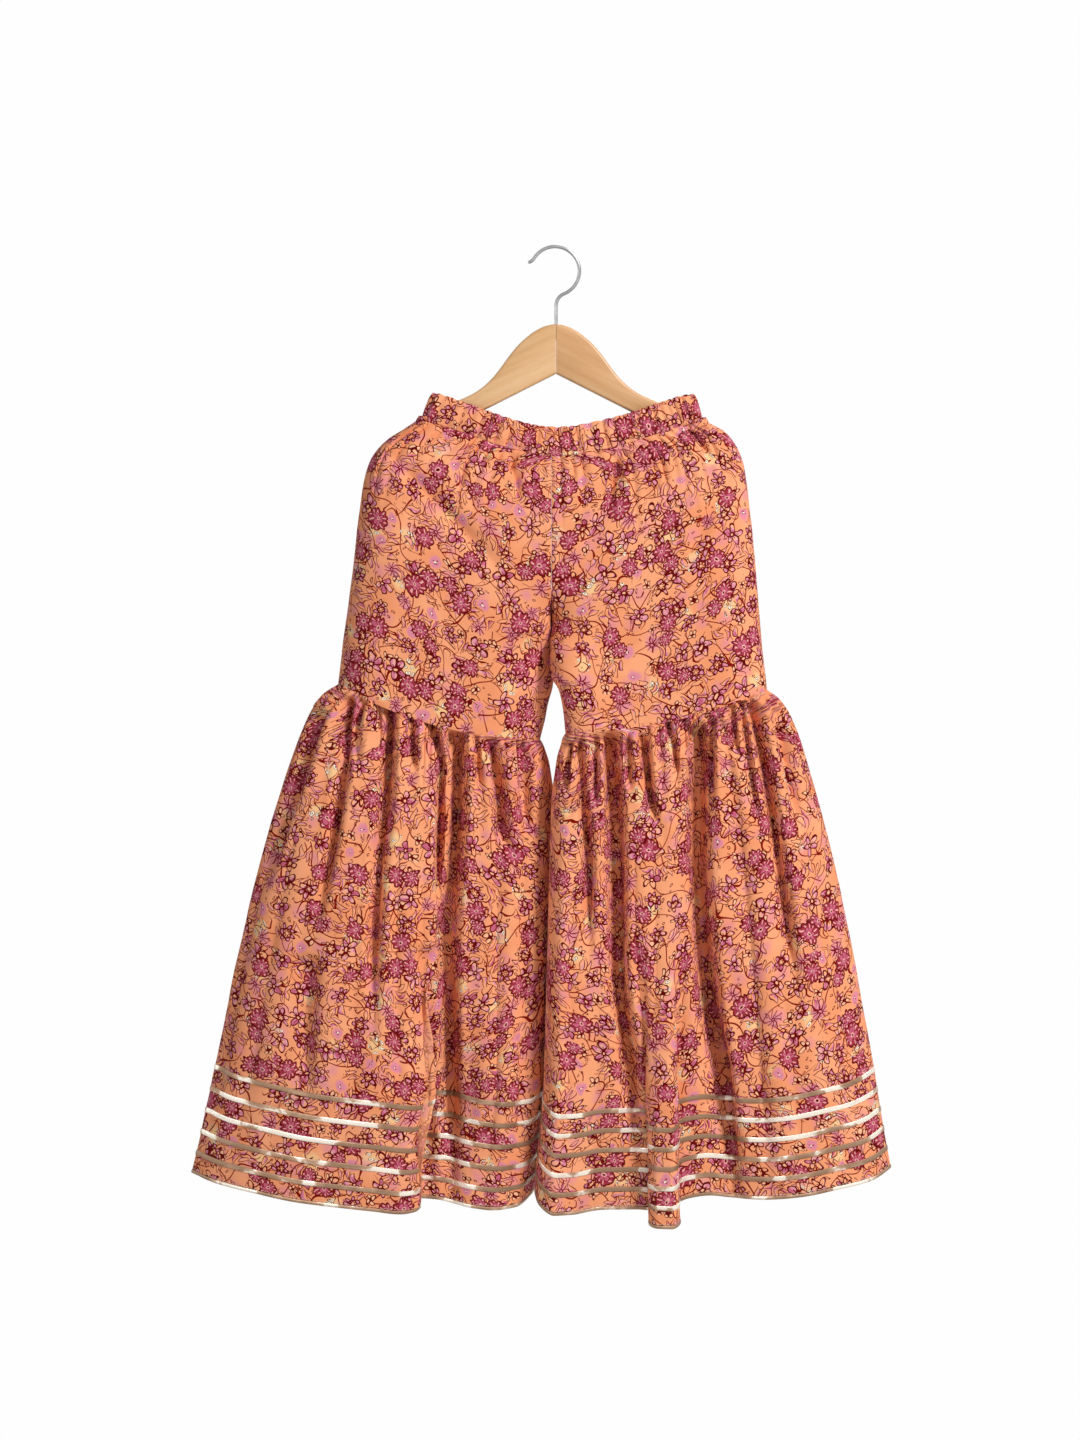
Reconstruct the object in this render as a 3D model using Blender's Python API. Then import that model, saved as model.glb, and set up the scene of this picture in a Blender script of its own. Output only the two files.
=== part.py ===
"""Child's sharara trousers hanging on a wooden hanger.

A sharara is a pair of wide gathered trousers: an elastic waistband, an upper leg (yoke) cut in a
front and a back panel, and a flare gathered on to each yoke at the knee. Five rows of metallic
ribbon and a narrow edging run round each hem.

Left and right are as seen from the front. The front faces -Y, +X is to the right and +Z is up.
The origin is the inside of the top of the hook's bow, where a rod holds the hanger.
Tables and sizes are in millimetres.
"""
import bmesh
import bpy
from math import acos, cos, degrees, exp, hypot, pi, radians, sin, sqrt
from mathutils import Matrix, Vector

MM = 0.001

# Cloth
CLOTH = 1.4                # wall of the printed cotton and its turned seams
CASING = 2.4               # waistband: two layers of cloth over the elastic
SEAM_GAP = 0.3             # between neighbouring pieces
CENTRE_X = -4.0            # centre front and centre back seams
LEFT, RIGHT = -1, 1
FRONT, BACK = -1, 1

# Waistband
BAND_HEIGHT = 26.0
BAND_MIDDLE_Z = -162.0     # top edge at the centre
BAND_RISE = 29.0           # top edge at the ends above the centre
BAND_CURVE = 1.55
BAND_REACH = {LEFT: 111.6, RIGHT: 125.0}
BAND_DEPTH = 11.0          # half of its thickness from front to back
BAND_GATHERS = 26          # across the front, and as many across the back
BAND_GATHER_DEPTH = 0.9

# Upper legs
WAIST_Z = BAND_MIDDLE_Z - BAND_HEIGHT - SEAM_GAP
KNEE_RISE = {LEFT: 49.0, RIGHT: 37.8}       # knee seam, outer side above inner side
KNEE_Z = {LEFT: -441.5, RIGHT: -435.0}      # knee seam at the inner side
CROTCH_Z = -338.0
CROTCH_CURVE = 38.0        # height over which the centre seams turn under
LEG_LAP = 7.0              # inner side of the right leg in front of that of the left leg
LAP_WIDTH = 26.0
LAP_FALL = 30.0            # below the crotch, to the full lap
YOKE_GATHERS = 12          # at the waist, on each panel
YOKE_GATHER_DEPTH = 1.9
YOKE_GATHER_REACH = 0.13

# Outline and depth of the upper legs, a row for each level from waist to knee.
# level, outer side left, outer side right, half depth, rounding of the sides
YOKE_LEVELS = (
    (0.00, 122.9, 133.8, 11.0, 11.0),
    (0.03, 138.0, 148.0, 13.5, 18.0),
    (0.08, 160.5, 160.5, 17.5, 30.0),
    (0.15, 168.5, 167.5, 20.5, 42.0),
    (0.28, 174.5, 172.0, 23.5, 56.0),
    (0.42, 178.5, 176.5, 25.5, 66.0),
    (0.60, 184.0, 180.7, 26.5, 70.0),
    (0.80, 190.5, 184.7, 26.5, 66.0),
    (1.00, 196.2, 190.0, 26.0, 60.0),
)
# Inner sides of the upper legs below the crotch: z, left leg, right leg
INNER_LEVELS = (
    (-337.0, -4.3, -3.7),
    (-350.0, -4.0, -4.0),
    (-368.0, -3.2, -4.6),
    (-387.0, -3.2, -2.6),
    (-400.0, -6.0, 4.5),
    (-415.0, -9.5, 8.3),
    (-441.5, -15.0, 10.0),
)
# Soft hollows of the upper legs: share across and level at each end, depth
YOKE_HOLLOWS = (
    (0.16, 0.10, 0.05, 0.52, 2.6),
    (0.42, 0.10, 0.30, 0.62, 2.2),
    (0.66, 0.08, 0.78, 0.50, 2.4),
    (0.90, 0.18, 0.55, 0.80, 1.8),
)
HOLLOW_WIDTH = 0.075

# Flares
BORDER = 105.0             # height of the straight border that carries the ribbons
FOLDS_FRONT = 14
FOLDS_BACK = 12
FOLDS_ROUND = FOLDS_FRONT + FOLDS_BACK
BORDER_NARROW = {LEFT: 0.951, RIGHT: 0.913}  # width of the border's top to its hem
BORDER_SHIFT = {LEFT: 8.2, RIGHT: 6.8}
BORDER_DEPTH = 0.92                          # depth of the border's top to its hem
INNER_SWELL = {LEFT: 10.0, RIGHT: 5.2}       # towards the other leg, below the knee
BACK_HEM_DEPTH = 42.0
BACK_HEM_WAVE = 4.5
BACK_HEM_Z = -862.0

# How far the outline has widened from knee seam to border, a row for each level
# level, share of the widening, share of the inner swell
FLARE_LEVELS = (
    (0.00, 0.00, 0.00),
    (0.03, 0.10, 0.25),
    (0.08, 0.22, 0.65),
    (0.20, 0.385, 1.00),
    (0.45, 0.62, 0.66),
    (0.75, 0.84, 0.32),
    (1.00, 1.00, 0.00),
)

# Gathers of the front, a row for each valley from the inner to the outer side.
# x at the knee seam, depth below the seam, reach down the flare (1 is the border)
LEFT_GATHERS = (
    (-15.0, 2.0, 0.30),
    (-26.0, 4.0, 0.35),
    (-36.0, 4.0, 0.40),
    (-50.0, 7.0, 0.70),
    (-66.0, 4.5, 0.45),
    (-81.0, 7.5, 0.90),
    (-95.0, 7.0, 0.80),
    (-111.0, 5.0, 0.50),
    (-130.0, 5.5, 0.55),
    (-146.0, 8.5, 0.80),
    (-158.0, 5.0, 0.50),
    (-169.0, 5.5, 0.55),
    (-178.0, 5.0, 0.55),
    (-187.0, 6.0, 0.65),
    (-196.2, 2.0, 0.30),
)
RIGHT_GATHERS = (
    (10.0, 2.0, 0.30),
    (22.0, 4.0, 0.35),
    (35.0, 7.5, 0.80),
    (51.0, 8.0, 0.85),
    (66.0, 6.5, 0.95),
    (80.0, 5.0, 0.50),
    (93.0, 4.5, 0.50),
    (106.0, 5.0, 0.55),
    (118.0, 4.5, 0.45),
    (129.0, 8.5, 0.95),
    (142.0, 7.0, 0.80),
    (154.0, 5.0, 0.50),
    (166.0, 5.5, 0.55),
    (179.0, 6.0, 0.60),
    (190.0, 2.0, 0.30),
)
# Front hems, a row for each turn of the cloth from the inner to the outer side.
# place (in gathers of the knee seam), x, distance in front of the mid-plane, z
LEFT_HEM = (
    (0.0, -18.6, 0.0, -846.0),
    (0.6, -24.5, 17.0, -853.0),
    (1.4, -36.0, 27.0, -861.5),
    (2.5, -56.0, 31.0, -864.0),
    (3.5, -75.0, 26.0, -862.0),
    (4.3, -91.0, 20.0, -858.5),
    (5.0, -108.0, 18.0, -854.5),
    (5.5, -125.0, 19.5, -853.5),   # runs in behind the large fold
    (6.0, -132.0, 25.5, -855.5),
    (6.5, -126.5, 32.0, -858.0),
    (7.0, -119.5, 38.5, -860.5),   # edge of the large fold
    (7.5, -124.5, 44.0, -864.0),
    (8.0, -139.0, 46.0, -866.5),
    (9.0, -167.0, 47.5, -863.5),
    (10.0, -199.0, 47.5, -860.0),
    (11.0, -235.0, 44.0, -855.5),
    (12.0, -271.0, 36.0, -848.0),
    (13.0, -305.0, 21.0, -840.0),
    (14.0, -327.6, 0.0, -831.3),
)
RIGHT_HEM = (
    (0.0, -19.4, 0.0, -846.0),
    (0.5, -15.5, 16.0, -858.0),
    (1.1, -2.0, 31.0, -868.0),
    (1.9, 14.0, 30.0, -867.5),
    (2.8, 42.0, 34.0, -863.0),
    (3.8, 71.0, 32.0, -862.8),
    (4.5, 89.0, 31.5, -866.0),     # runs in behind the pipe fold
    (5.0, 83.0, 41.0, -875.5),
    (5.5, 90.0, 51.0, -879.0),     # front of the pipe fold, which hangs lowest
    (6.0, 103.5, 51.5, -879.5),
    (6.5, 110.7, 42.5, -874.0),
    (7.0, 105.0, 31.0, -862.5),
    (7.5, 118.0, 27.0, -853.5),
    (8.2, 138.0, 24.0, -850.7),
    (8.9, 157.0, 25.0, -852.5),
    (9.9, 186.0, 34.0, -854.0),
    (11.0, 219.0, 40.0, -851.5),
    (12.2, 254.0, 36.0, -844.5),
    (13.2, 285.0, 21.0, -837.0),
    (14.0, 300.6, 0.0, -826.8),
)
GATHERS = {LEFT: LEFT_GATHERS, RIGHT: RIGHT_GATHERS}
HEMS = {LEFT: LEFT_HEM, RIGHT: RIGHT_HEM}

# Metallic ribbon
RIBBON_ROWS = 5
RIBBON_WIDTH = 4.5
RIBBON_THICK = 0.5
RIBBON_FIRST = 18.0                          # middle of the lowest row above the hem
RIBBON_STEP = {LEFT: 19.2, RIGHT: 17.6}
EDGING_WIDTH = 2.2
EDGING_RISE = 0.3                            # the edging starts just above the cut edge

# Hanger
WIRE = 3.2
BOW_RADIUS = 22.0                            # to the middle of the wire
BOW_X = -0.9
TIP_ANGLE = 148.0
TIP_RADIUS = 9.0
TIP_TURN = 45.0
NECK_RADIUS = 12.0
STEM_DEPTH = 14.0                            # of the stem in the wood
WOOD = 12.0                                  # thickness of the arms
WOOD_EDGE = 3.2                              # rounding of their arrises
# Top edge of an arm: distance from the middle, z
ARM_TOP = (
    (0.0, -68.1), (9.0, -69.8), (18.0, -74.0), (27.0, -80.6), (36.0, -89.3), (44.0, -99.5),
    (51.0, -109.2), (58.0, -117.6), (66.0, -125.0), (75.0, -131.0), (85.0, -135.8), (96.0, -140.0),
)
ARM_FOOT_Z = -113.1                          # underside at the middle
ARM_FOOT_SLOPE = 0.505
ARM_TIP = {LEFT: 114.0, RIGHT: 126.0}        # ends inside the corners of the waistband
ARM_TIP_Z = -149.5


def smooth(knots, values):
    """Return a smooth curve through the values which never swings past them."""
    steps = [right - left for left, right in zip(knots, knots[1:])]
    rises = [(right - left) / step for left, right, step in zip(values, values[1:], steps)]
    slopes = [rises[0]]
    for before, after in zip(rises, rises[1:]):
        slopes.append(2 * before * after / (before + after) if before * after > 0 else 0.0)
    slopes.append(rises[-1])

    def curve(place):
        place = min(max(place, knots[0]), knots[-1])
        index = max(i for i in range(len(steps)) if knots[i] <= place)
        share = (place - knots[index]) / steps[index]
        rest = 1 - share
        start = values[index] * (1 + 2 * share) + slopes[index] * steps[index] * share
        end = values[index + 1] * (1 + 2 * rest) - slopes[index + 1] * steps[index] * rest
        return start * rest * rest + end * share * share

    return curve


def column(table, key, value):
    """Return a smooth curve through one column of a table, over another."""
    rows = sorted(table, key=lambda row: row[key])
    return smooth([row[key] for row in rows], [row[value] for row in rows])


def mix(first, second, share):
    return first + (second - first) * share


def ease(value):
    """Rise smoothly from 0 to 1."""
    value = min(max(value, 0.0), 1.0)
    return value * value * (3 - 2 * value)


def flat_end(distance, rounding):
    """Share of the full depth at a distance from the side of a flattened tube."""
    return sqrt(1 - (1 - min(max(distance / rounding, 0.0), 1.0)) ** 2)


def shift_row(points, distances, turn, before=None, after=None):
    """Move a row of points sideways in plan; a ring where no neighbours are given at its ends."""
    moved = []
    for index, point in enumerate(points):
        last = index == len(points) - 1
        left = points[index - 1] if index or before is None else before
        right = (points[0] if after is None else after) if last else points[index + 1]
        first = Vector((point[1] - left[1], left[0] - point[0])).normalized() * turn
        second = Vector((right[1] - point[1], point[0] - right[0])).normalized() * turn
        middle = (first + second).normalized() if (first + second).length > 1e-6 else first
        reach = distances[index] / max(middle.dot(first), 0.6)
        moved.append((point[0] + middle.x * reach, point[1] + middle.y * reach, point[2]))
    return moved


def stitch(bm, upper, lower, closed):
    """Fill the strip between two rows of vertices; the upper may have twice as many spaces."""
    spaces = len(lower) if closed else len(lower) - 1
    double = len(upper) > len(lower)
    for index in range(spaces):
        low, low_next = lower[index], lower[(index + 1) % len(lower)]
        if double:
            high, middle = upper[2 * index], upper[2 * index + 1]
            high_next = upper[(2 * index + 2) % len(upper)]
            bm.faces.new((high, middle, low))
            bm.faces.new((middle, low_next, low))
            bm.faces.new((middle, high_next, low_next))
        else:
            bm.faces.new((upper[index], upper[(index + 1) % len(upper)], low_next, low))


def material(name, colour, roughness, metallic=0.0):
    """Return a plain material with a colour given as an sRGB hex number."""
    made = bpy.data.materials.get(name)
    if made is None:
        made = bpy.data.materials.new(name)
        made.use_nodes = True
        shader = made.node_tree.nodes["Principled BSDF"]
        parts = [(colour >> shift & 255) / 255 for shift in (16, 8, 0)]
        linear = [part / 12.92 if part <= 0.04045 else ((part + 0.055) / 1.055) ** 2.4 for part in parts]
        shader.inputs["Base Color"].default_value = (*linear, 1)
        shader.inputs["Roughness"].default_value = roughness
        shader.inputs["Metallic"].default_value = metallic
    return made


def finish_object(name, bm, finish):
    """Make a named object of a mesh that was drawn in millimetres."""
    bmesh.ops.recalc_face_normals(bm, faces=bm.faces)
    bmesh.ops.scale(bm, vec=(MM, MM, MM), verts=bm.verts)
    mesh = bpy.data.meshes.new(name)
    bm.to_mesh(mesh)
    bm.free()
    mesh.shade_smooth()
    mesh.set_sharp_from_angle(angle=radians(40))
    mesh.materials.append(finish)
    made = bpy.data.objects.new(name, mesh)
    bpy.context.collection.objects.link(made)
    return made


def wall(name, outer, inner, closed, finish):
    """Make one closed solid between the outer and inner rows of a piece of cloth."""
    bm = bmesh.new()
    outside = [[bm.verts.new(point) for point in row] for row in outer]
    inside = [[bm.verts.new(point) for point in row] for row in inner]
    for rows in (outside, inside):
        for upper, lower in zip(rows, rows[1:]):
            stitch(bm, upper, lower, closed)
    stitch(bm, outside[0], inside[0], closed)
    stitch(bm, outside[-1], inside[-1], closed)
    if not closed:
        for end in (0, -1):
            stitch(bm, [row[end] for row in outside], [row[end] for row in inside], False)
    return finish_object(name, bm, finish)


def cotton():
    return material("printed cotton", 0xE58A5C, 0.75)


def gota():
    return material("metallic ribbon", 0xD9B48C, 0.3, 1.0)


# Waistband

def band_side(x):
    return LEFT if x < 0 else RIGHT


def band_edge(x, drop):
    """Point of the casing under its top edge at x, a distance down the slanted band."""
    reach = BAND_REACH[band_side(x)]
    share = abs(x) / reach
    slope = band_side(x) * BAND_RISE * BAND_CURVE / reach * share ** (BAND_CURVE - 1)
    length = hypot(1, slope)
    height = BAND_MIDDLE_Z + BAND_RISE * share ** BAND_CURVE
    return x + drop * slope / length, height - drop / length


def band_path():
    """Evenly spaced places round the casing in plan, gathers counted from its left end."""
    left, right = -BAND_REACH[LEFT], BAND_REACH[RIGHT]
    quarter = pi / 2 * BAND_DEPTH
    straight = right - left - 2 * BAND_DEPTH
    count = 2 * BAND_GATHERS
    places = []
    for face in (FRONT, BACK):
        for index in range(count):
            run = index / count * (straight + 2 * quarter)
            if run < quarter:
                angle = run / BAND_DEPTH
                x, y = left + BAND_DEPTH * (1 - cos(angle)), BAND_DEPTH * sin(angle)
            elif run < quarter + straight:
                x, y = left + BAND_DEPTH + run - quarter, BAND_DEPTH
            else:
                angle = (run - quarter - straight) / BAND_DEPTH
                x, y = right - BAND_DEPTH * (1 - sin(angle)), BAND_DEPTH * cos(angle)
            places.append((x if face == FRONT else left + right - x, face * y))
    return places


def make_waistband():
    """Casing with its elastic: narrow upright gathers between a top fold and a stitched edge."""
    places = [(x, y, 0.0) for x, y in band_path()]

    def row(drop, swell, gather):
        moves = [swell + BAND_GATHER_DEPTH * gather * (-1) ** index for index in range(len(places))]
        points = []
        for x, y, _ in shift_row(places, moves, 1):
            edge_x, z = band_edge(x, drop)
            points.append((edge_x, y, z))
        return points

    outer = [row(0.0, -0.9, 0.6), row(4.5, 0.5, 1.0), row(20.0, 0.5, 1.0), row(BAND_HEIGHT, -0.5, 1.0)]
    inner = [row(0.0, -CASING, 0.0), row(BAND_HEIGHT, -CASING, 0.0)]
    wall("waistband", outer, inner, True, cotton())


# Upper legs

def band_under(x):
    """Height of the seam under the casing at x."""
    top = x
    for _ in range(6):
        top -= band_edge(top, BAND_HEIGHT + SEAM_GAP)[0] - x
    return band_edge(top, BAND_HEIGHT + SEAM_GAP)[1]


def knee_height(side, x):
    """Height of the knee seam at x: it rises towards the outer side."""
    inner, outer = GATHERS[side][0][0], GATHERS[side][-1][0]
    share = min(max((x - inner) / (outer - inner), 0.0), 1.0)
    return KNEE_Z[side] + KNEE_RISE[side] * share ** 2


def yoke_share(place):
    """Share of the width for an evenly counted column, closer together near the sides."""
    return mix(place, (1 - cos(pi * place)) / 2, 0.35)


YOKE_OUTER = {LEFT: column(YOKE_LEVELS, 0, 1), RIGHT: column(YOKE_LEVELS, 0, 2)}
YOKE_DEPTH = column(YOKE_LEVELS, 0, 3)
YOKE_ROUND = column(YOKE_LEVELS, 0, 4)
YOKE_INNER = {LEFT: column(INNER_LEVELS, 0, 1), RIGHT: column(INNER_LEVELS, 0, 2)}


def lap(side, inward, z):
    """How far back the inner side of a leg lies, by the distance from that side."""
    near = inward / LAP_WIDTH
    return -side * LEG_LAP * ease((CROTCH_Z - z) / LAP_FALL) * exp(-near * near)


def hollow(share, level):
    """Depth of the soft hollows of the upper leg."""
    depth = 0.0
    for share_top, top, share_foot, foot, deep in YOKE_HOLLOWS:
        along = (level - top) / (foot - top)
        if 0 < along < 1:
            across = (share - mix(share_top, share_foot, along)) / HOLLOW_WIDTH
            depth += deep * sin(pi * along) * exp(-across * across)
    return depth


def yoke_point(side, face, place, level):
    """Point on the outside of an upper leg, from inner to outer side and from waist to knee."""
    share = yoke_share(place)
    inner_z = mix(WAIST_Z, KNEE_Z[side], level)
    closed = ease((CROTCH_Z + CROTCH_CURVE - inner_z) / CROTCH_CURVE)
    inner_x = YOKE_INNER[side](inner_z) if closed >= 1 else CENTRE_X + side * SEAM_GAP / 2
    outer_x = side * YOKE_OUTER[side](level)
    x = mix(inner_x, outer_x, share)
    top_x = mix(CENTRE_X, side * YOKE_OUTER[side](0), share)
    knee_x = mix(GATHERS[side][0][0], GATHERS[side][-1][0], share)
    z = mix(band_under(top_x), knee_height(side, knee_x) + SEAM_GAP, level)
    rounding = YOKE_ROUND(level)
    depth = YOKE_DEPTH(level) * flat_end(abs(outer_x - x), rounding)
    depth *= 1 - closed * (1 - flat_end(abs(x - inner_x), rounding))
    fade = exp(-(level / YOKE_GATHER_REACH) ** 2)
    depth += YOKE_GATHER_DEPTH * fade * cos(2 * pi * YOKE_GATHERS * place) * min(depth / BAND_DEPTH, 1)
    depth -= hollow(share, level) * min(depth / BAND_DEPTH, 1)
    return (x, face * depth + lap(side, abs(x - inner_x), z), z), closed


def yoke_row(side, face, level, columns):
    """Outer and inner points of one row of a panel, its side edges drawn back from the seams."""
    points = []
    for index in range(columns + 1):
        point, closed = yoke_point(side, face, index / columns, level)
        points.append(point)
    if closed >= 1:
        before = yoke_point(side, -face, 1 / columns, level)[0]
    else:
        before = (2 * CENTRE_X - points[1][0], *points[1][1:])
    after = yoke_point(side, -face, 1 - 1 / columns, level)[0]
    inner = shift_row(points, [-CLOTH] * len(points), -side * face, before, after)
    half = face * SEAM_GAP / 2
    rows = []
    for row in (points, inner):
        row = list(row)
        row[-1] = (row[-1][0], row[-1][1] + half, row[-1][2])
        if closed >= 1:
            row[0] = (row[0][0], row[0][1] + half, row[0][2])
        if level == 0:
            row = [(x, y, band_under(x)) for x, y, _ in row]
        elif level == 1:
            row = [(x, y, knee_height(side, x) + SEAM_GAP) for x, y, _ in row]
        rows.append(row)
    return rows


def make_yokes():
    """Four panels: front and back of each upper leg, gathered to the waistband."""
    fine, coarse = 2 * YOKE_GATHERS, YOKE_GATHERS
    for side, side_name in ((LEFT, "left"), (RIGHT, "right")):
        crotch = (CROTCH_Z - WAIST_Z) / (KNEE_Z[side] - WAIST_Z) + 1e-6
        rows = ((0.0, fine), (0.03, fine), (0.08, fine), (0.15, fine), (0.28, coarse), (0.42, coarse),
                (crotch - 0.08, coarse), (crotch, coarse), (0.80, coarse), (1.0, coarse))
        for face, face_name in ((FRONT, "front"), (BACK, "back")):
            pairs = [yoke_row(side, face, level, columns) for level, columns in rows]
            outer, inner = [pair[0] for pair in pairs], [pair[1] for pair in pairs]
            wall(f"{side_name}_yoke_{face_name}", outer, inner, False, cotton())


# Flares

def ring_curve(stations):
    """Return a smooth closed curve through (place, value) stations round a leg."""
    stations = sorted(stations)
    before = [(place - FOLDS_ROUND, value) for place, value in stations[-3:]]
    after = [(place + FOLDS_ROUND, value) for place, value in stations[:3]]
    whole = before + stations + after
    return smooth([place for place, _ in whole], [value for _, value in whole])


def back_places():
    return [(FOLDS_FRONT + index, index / FOLDS_BACK) for index in range(1, FOLDS_BACK)]


def hem_curves(side):
    """Curves for x, y and z of the hem, round the leg."""
    front = [(place, x, FRONT * out, z) for place, x, out, z in HEMS[side]]
    outer, inner = front[-1], front[0]
    back = []
    for place, share in back_places():
        x = mix(outer[1], inner[1], share + 0.04 * sin(2 * pi * share))
        room = min(share, 1 - share) * abs(outer[1] - inner[1])
        wave = BACK_HEM_WAVE * (-1) ** place
        deep = BACK * (BACK_HEM_DEPTH * flat_end(room, 90.0) + wave)
        sag = mix(mix(outer[3], inner[3], share), BACK_HEM_Z, sin(pi * share) ** 0.6)
        back.append((place, x, deep, sag))
    stations = front + back
    return [ring_curve([(row[0], row[axis]) for row in stations]) for axis in (1, 2, 3)]


def gather_curves(side):
    """Curves for x at the knee seam, depth and reach of the gathers, round the leg."""
    front = [(place, *row) for place, row in enumerate(GATHERS[side])]
    outer, inner = front[-1][1], front[0][1]
    back = []
    for place, share in back_places():
        long_fold = place % 3 == 0
        back.append((place, mix(outer, inner, share), 7.5 if long_fold else 5.0,
                     0.85 if long_fold else 0.50))
    stations = front + back
    return [ring_curve([(row[0], row[axis]) for row in stations]) for axis in (1, 2, 3)]


WIDENING = column(FLARE_LEVELS, 0, 1)
SWELL = column(FLARE_LEVELS, 0, 2)


class Flare:
    """The gathered lower leg: a ring of folds from the knee seam to the hem."""

    def __init__(self, side):
        self.side = side
        self.hem = hem_curves(side)
        self.knee_x, self.depth, self.reach = gather_curves(side)
        self.inner_x = GATHERS[side][0][0]
        self.outer_x = GATHERS[side][-1][0]

    def knee_point(self, place):
        x = self.knee_x(place)
        face = FRONT if place % FOLDS_ROUND <= FOLDS_FRONT else BACK
        rounding = YOKE_ROUND(1)
        deep = YOKE_DEPTH(1) * flat_end(abs(x - self.inner_x), rounding)
        deep *= flat_end(abs(x - self.outer_x), rounding)
        z = knee_height(self.side, x)
        return x, face * deep + lap(self.side, abs(x - self.inner_x), z), z

    def border_point(self, place, lift):
        """Point of the straight border, a height above the hem."""
        x, y, z = (curve(place) for curve in self.hem)
        share = lift / BORDER
        narrow = mix(1.0, BORDER_NARROW[self.side], share)
        y = y * mix(1.0, BORDER_DEPTH, share) + lap(self.side, abs(x - HEMS[self.side][0][1]), z)
        return x * narrow + BORDER_SHIFT[self.side] * share, y, z + lift

    def ring(self, level, places):
        """Outside points at a level: 0 is the knee seam and 1 the top of the border."""
        points, ridges = [], []
        for place in places:
            knee, border = self.knee_point(place), self.border_point(place, BORDER)
            x = mix(knee[0], border[0], WIDENING(level))
            near = (x - mix(self.inner_x, self.border_point(0, BORDER)[0], WIDENING(level))) / 30.0
            x -= self.side * INNER_SWELL[self.side] * SWELL(level) * exp(-near * near)
            points.append((x, mix(knee[1], border[1], level ** 0.7), mix(knee[2], border[2], level)))
            valley = (1 + cos(2 * pi * place)) / 2
            fade = (0.3 + 0.7 * ease(level / 0.08)) * (1 - ease(level / self.reach(place)))
            ridges.append(self.depth(place) * fade * (0.35 - valley))
        return shift_row(points, ridges, self.side)

    def border_ring(self, lift, places, out=0.0):
        points = [self.border_point(place, lift) for place in places]
        return shift_row(points, [out] * len(points), self.side)


def open_ring(row, per_fold, face):
    """Cut the front or the back out of a ring, drawn back from the side seams."""
    cut = FOLDS_FRONT * per_fold
    points = row[:cut + 1] if face == FRONT else row[cut:] + row[:1]
    half = face * SEAM_GAP / 2
    ends = [(point[0], point[1] + half, point[2]) for point in (points[0], points[-1])]
    return [ends[0], *points[1:-1], ends[1]]


def make_flares():
    """Front and back of each flare, then the ribbons and the edging that lie on them."""
    fine, coarse = 4, 2
    levels = ((0.0, fine), (0.03, fine), (0.10, fine), (0.22, fine), (0.40, fine), (0.68, coarse))
    for side, side_name in ((LEFT, "left"), (RIGHT, "right")):
        flare = Flare(side)
        places = {count: [index / count for index in range(FOLDS_ROUND * count)] for count in (fine, coarse)}
        rings = [(flare.ring(level, places[count]), count) for level, count in levels]
        rings += [(flare.border_ring(lift, places[coarse]), coarse) for lift in (BORDER, 0.0)]
        walls = [(ring, shift_row(ring, [-CLOTH] * len(ring), side), count) for ring, count in rings]
        seam = [[(x, y, knee_height(side, x)) for x, y, _ in ring] for ring in walls[0][:2]]
        walls[0] = (*seam, fine)
        for face, face_name in ((FRONT, "front"), (BACK, "back")):
            outer = [open_ring(ring, count, face) for ring, _, count in walls]
            inner = [open_ring(ring, count, face) for _, ring, count in walls]
            wall(f"{side_name}_flare_{face_name}", outer, inner, False, cotton())
        for row in range(RIBBON_ROWS):
            middle = RIBBON_FIRST + row * RIBBON_STEP[side]
            ribbon(f"{side_name}_gota_{row + 1}", flare, middle - RIBBON_WIDTH / 2,
                   middle + RIBBON_WIDTH / 2, places[coarse])
        ribbon(f"{side_name}_hem_edging", flare, EDGING_RISE, EDGING_RISE + EDGING_WIDTH, places[coarse])


def ribbon(name, flare, low, high, places):
    """Flat metallic ribbon round a flare, made from the flare's own points and moved out."""
    outer = [flare.border_ring(lift, places, SEAM_GAP + RIBBON_THICK) for lift in (high, low)]
    inner = [flare.border_ring(lift, places, SEAM_GAP) for lift in (high, low)]
    wall(name, outer, inner, True, gota())


# Hanger

def arc(centre, radius, start, end, count):
    """Points of an arc in the plane of the hanger, angles in degrees."""
    angles = [radians(mix(start, end, index / count)) for index in range(count + 1)]
    return [(centre[0] + radius * cos(angle), centre[1] + radius * sin(angle)) for angle in angles]


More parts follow.
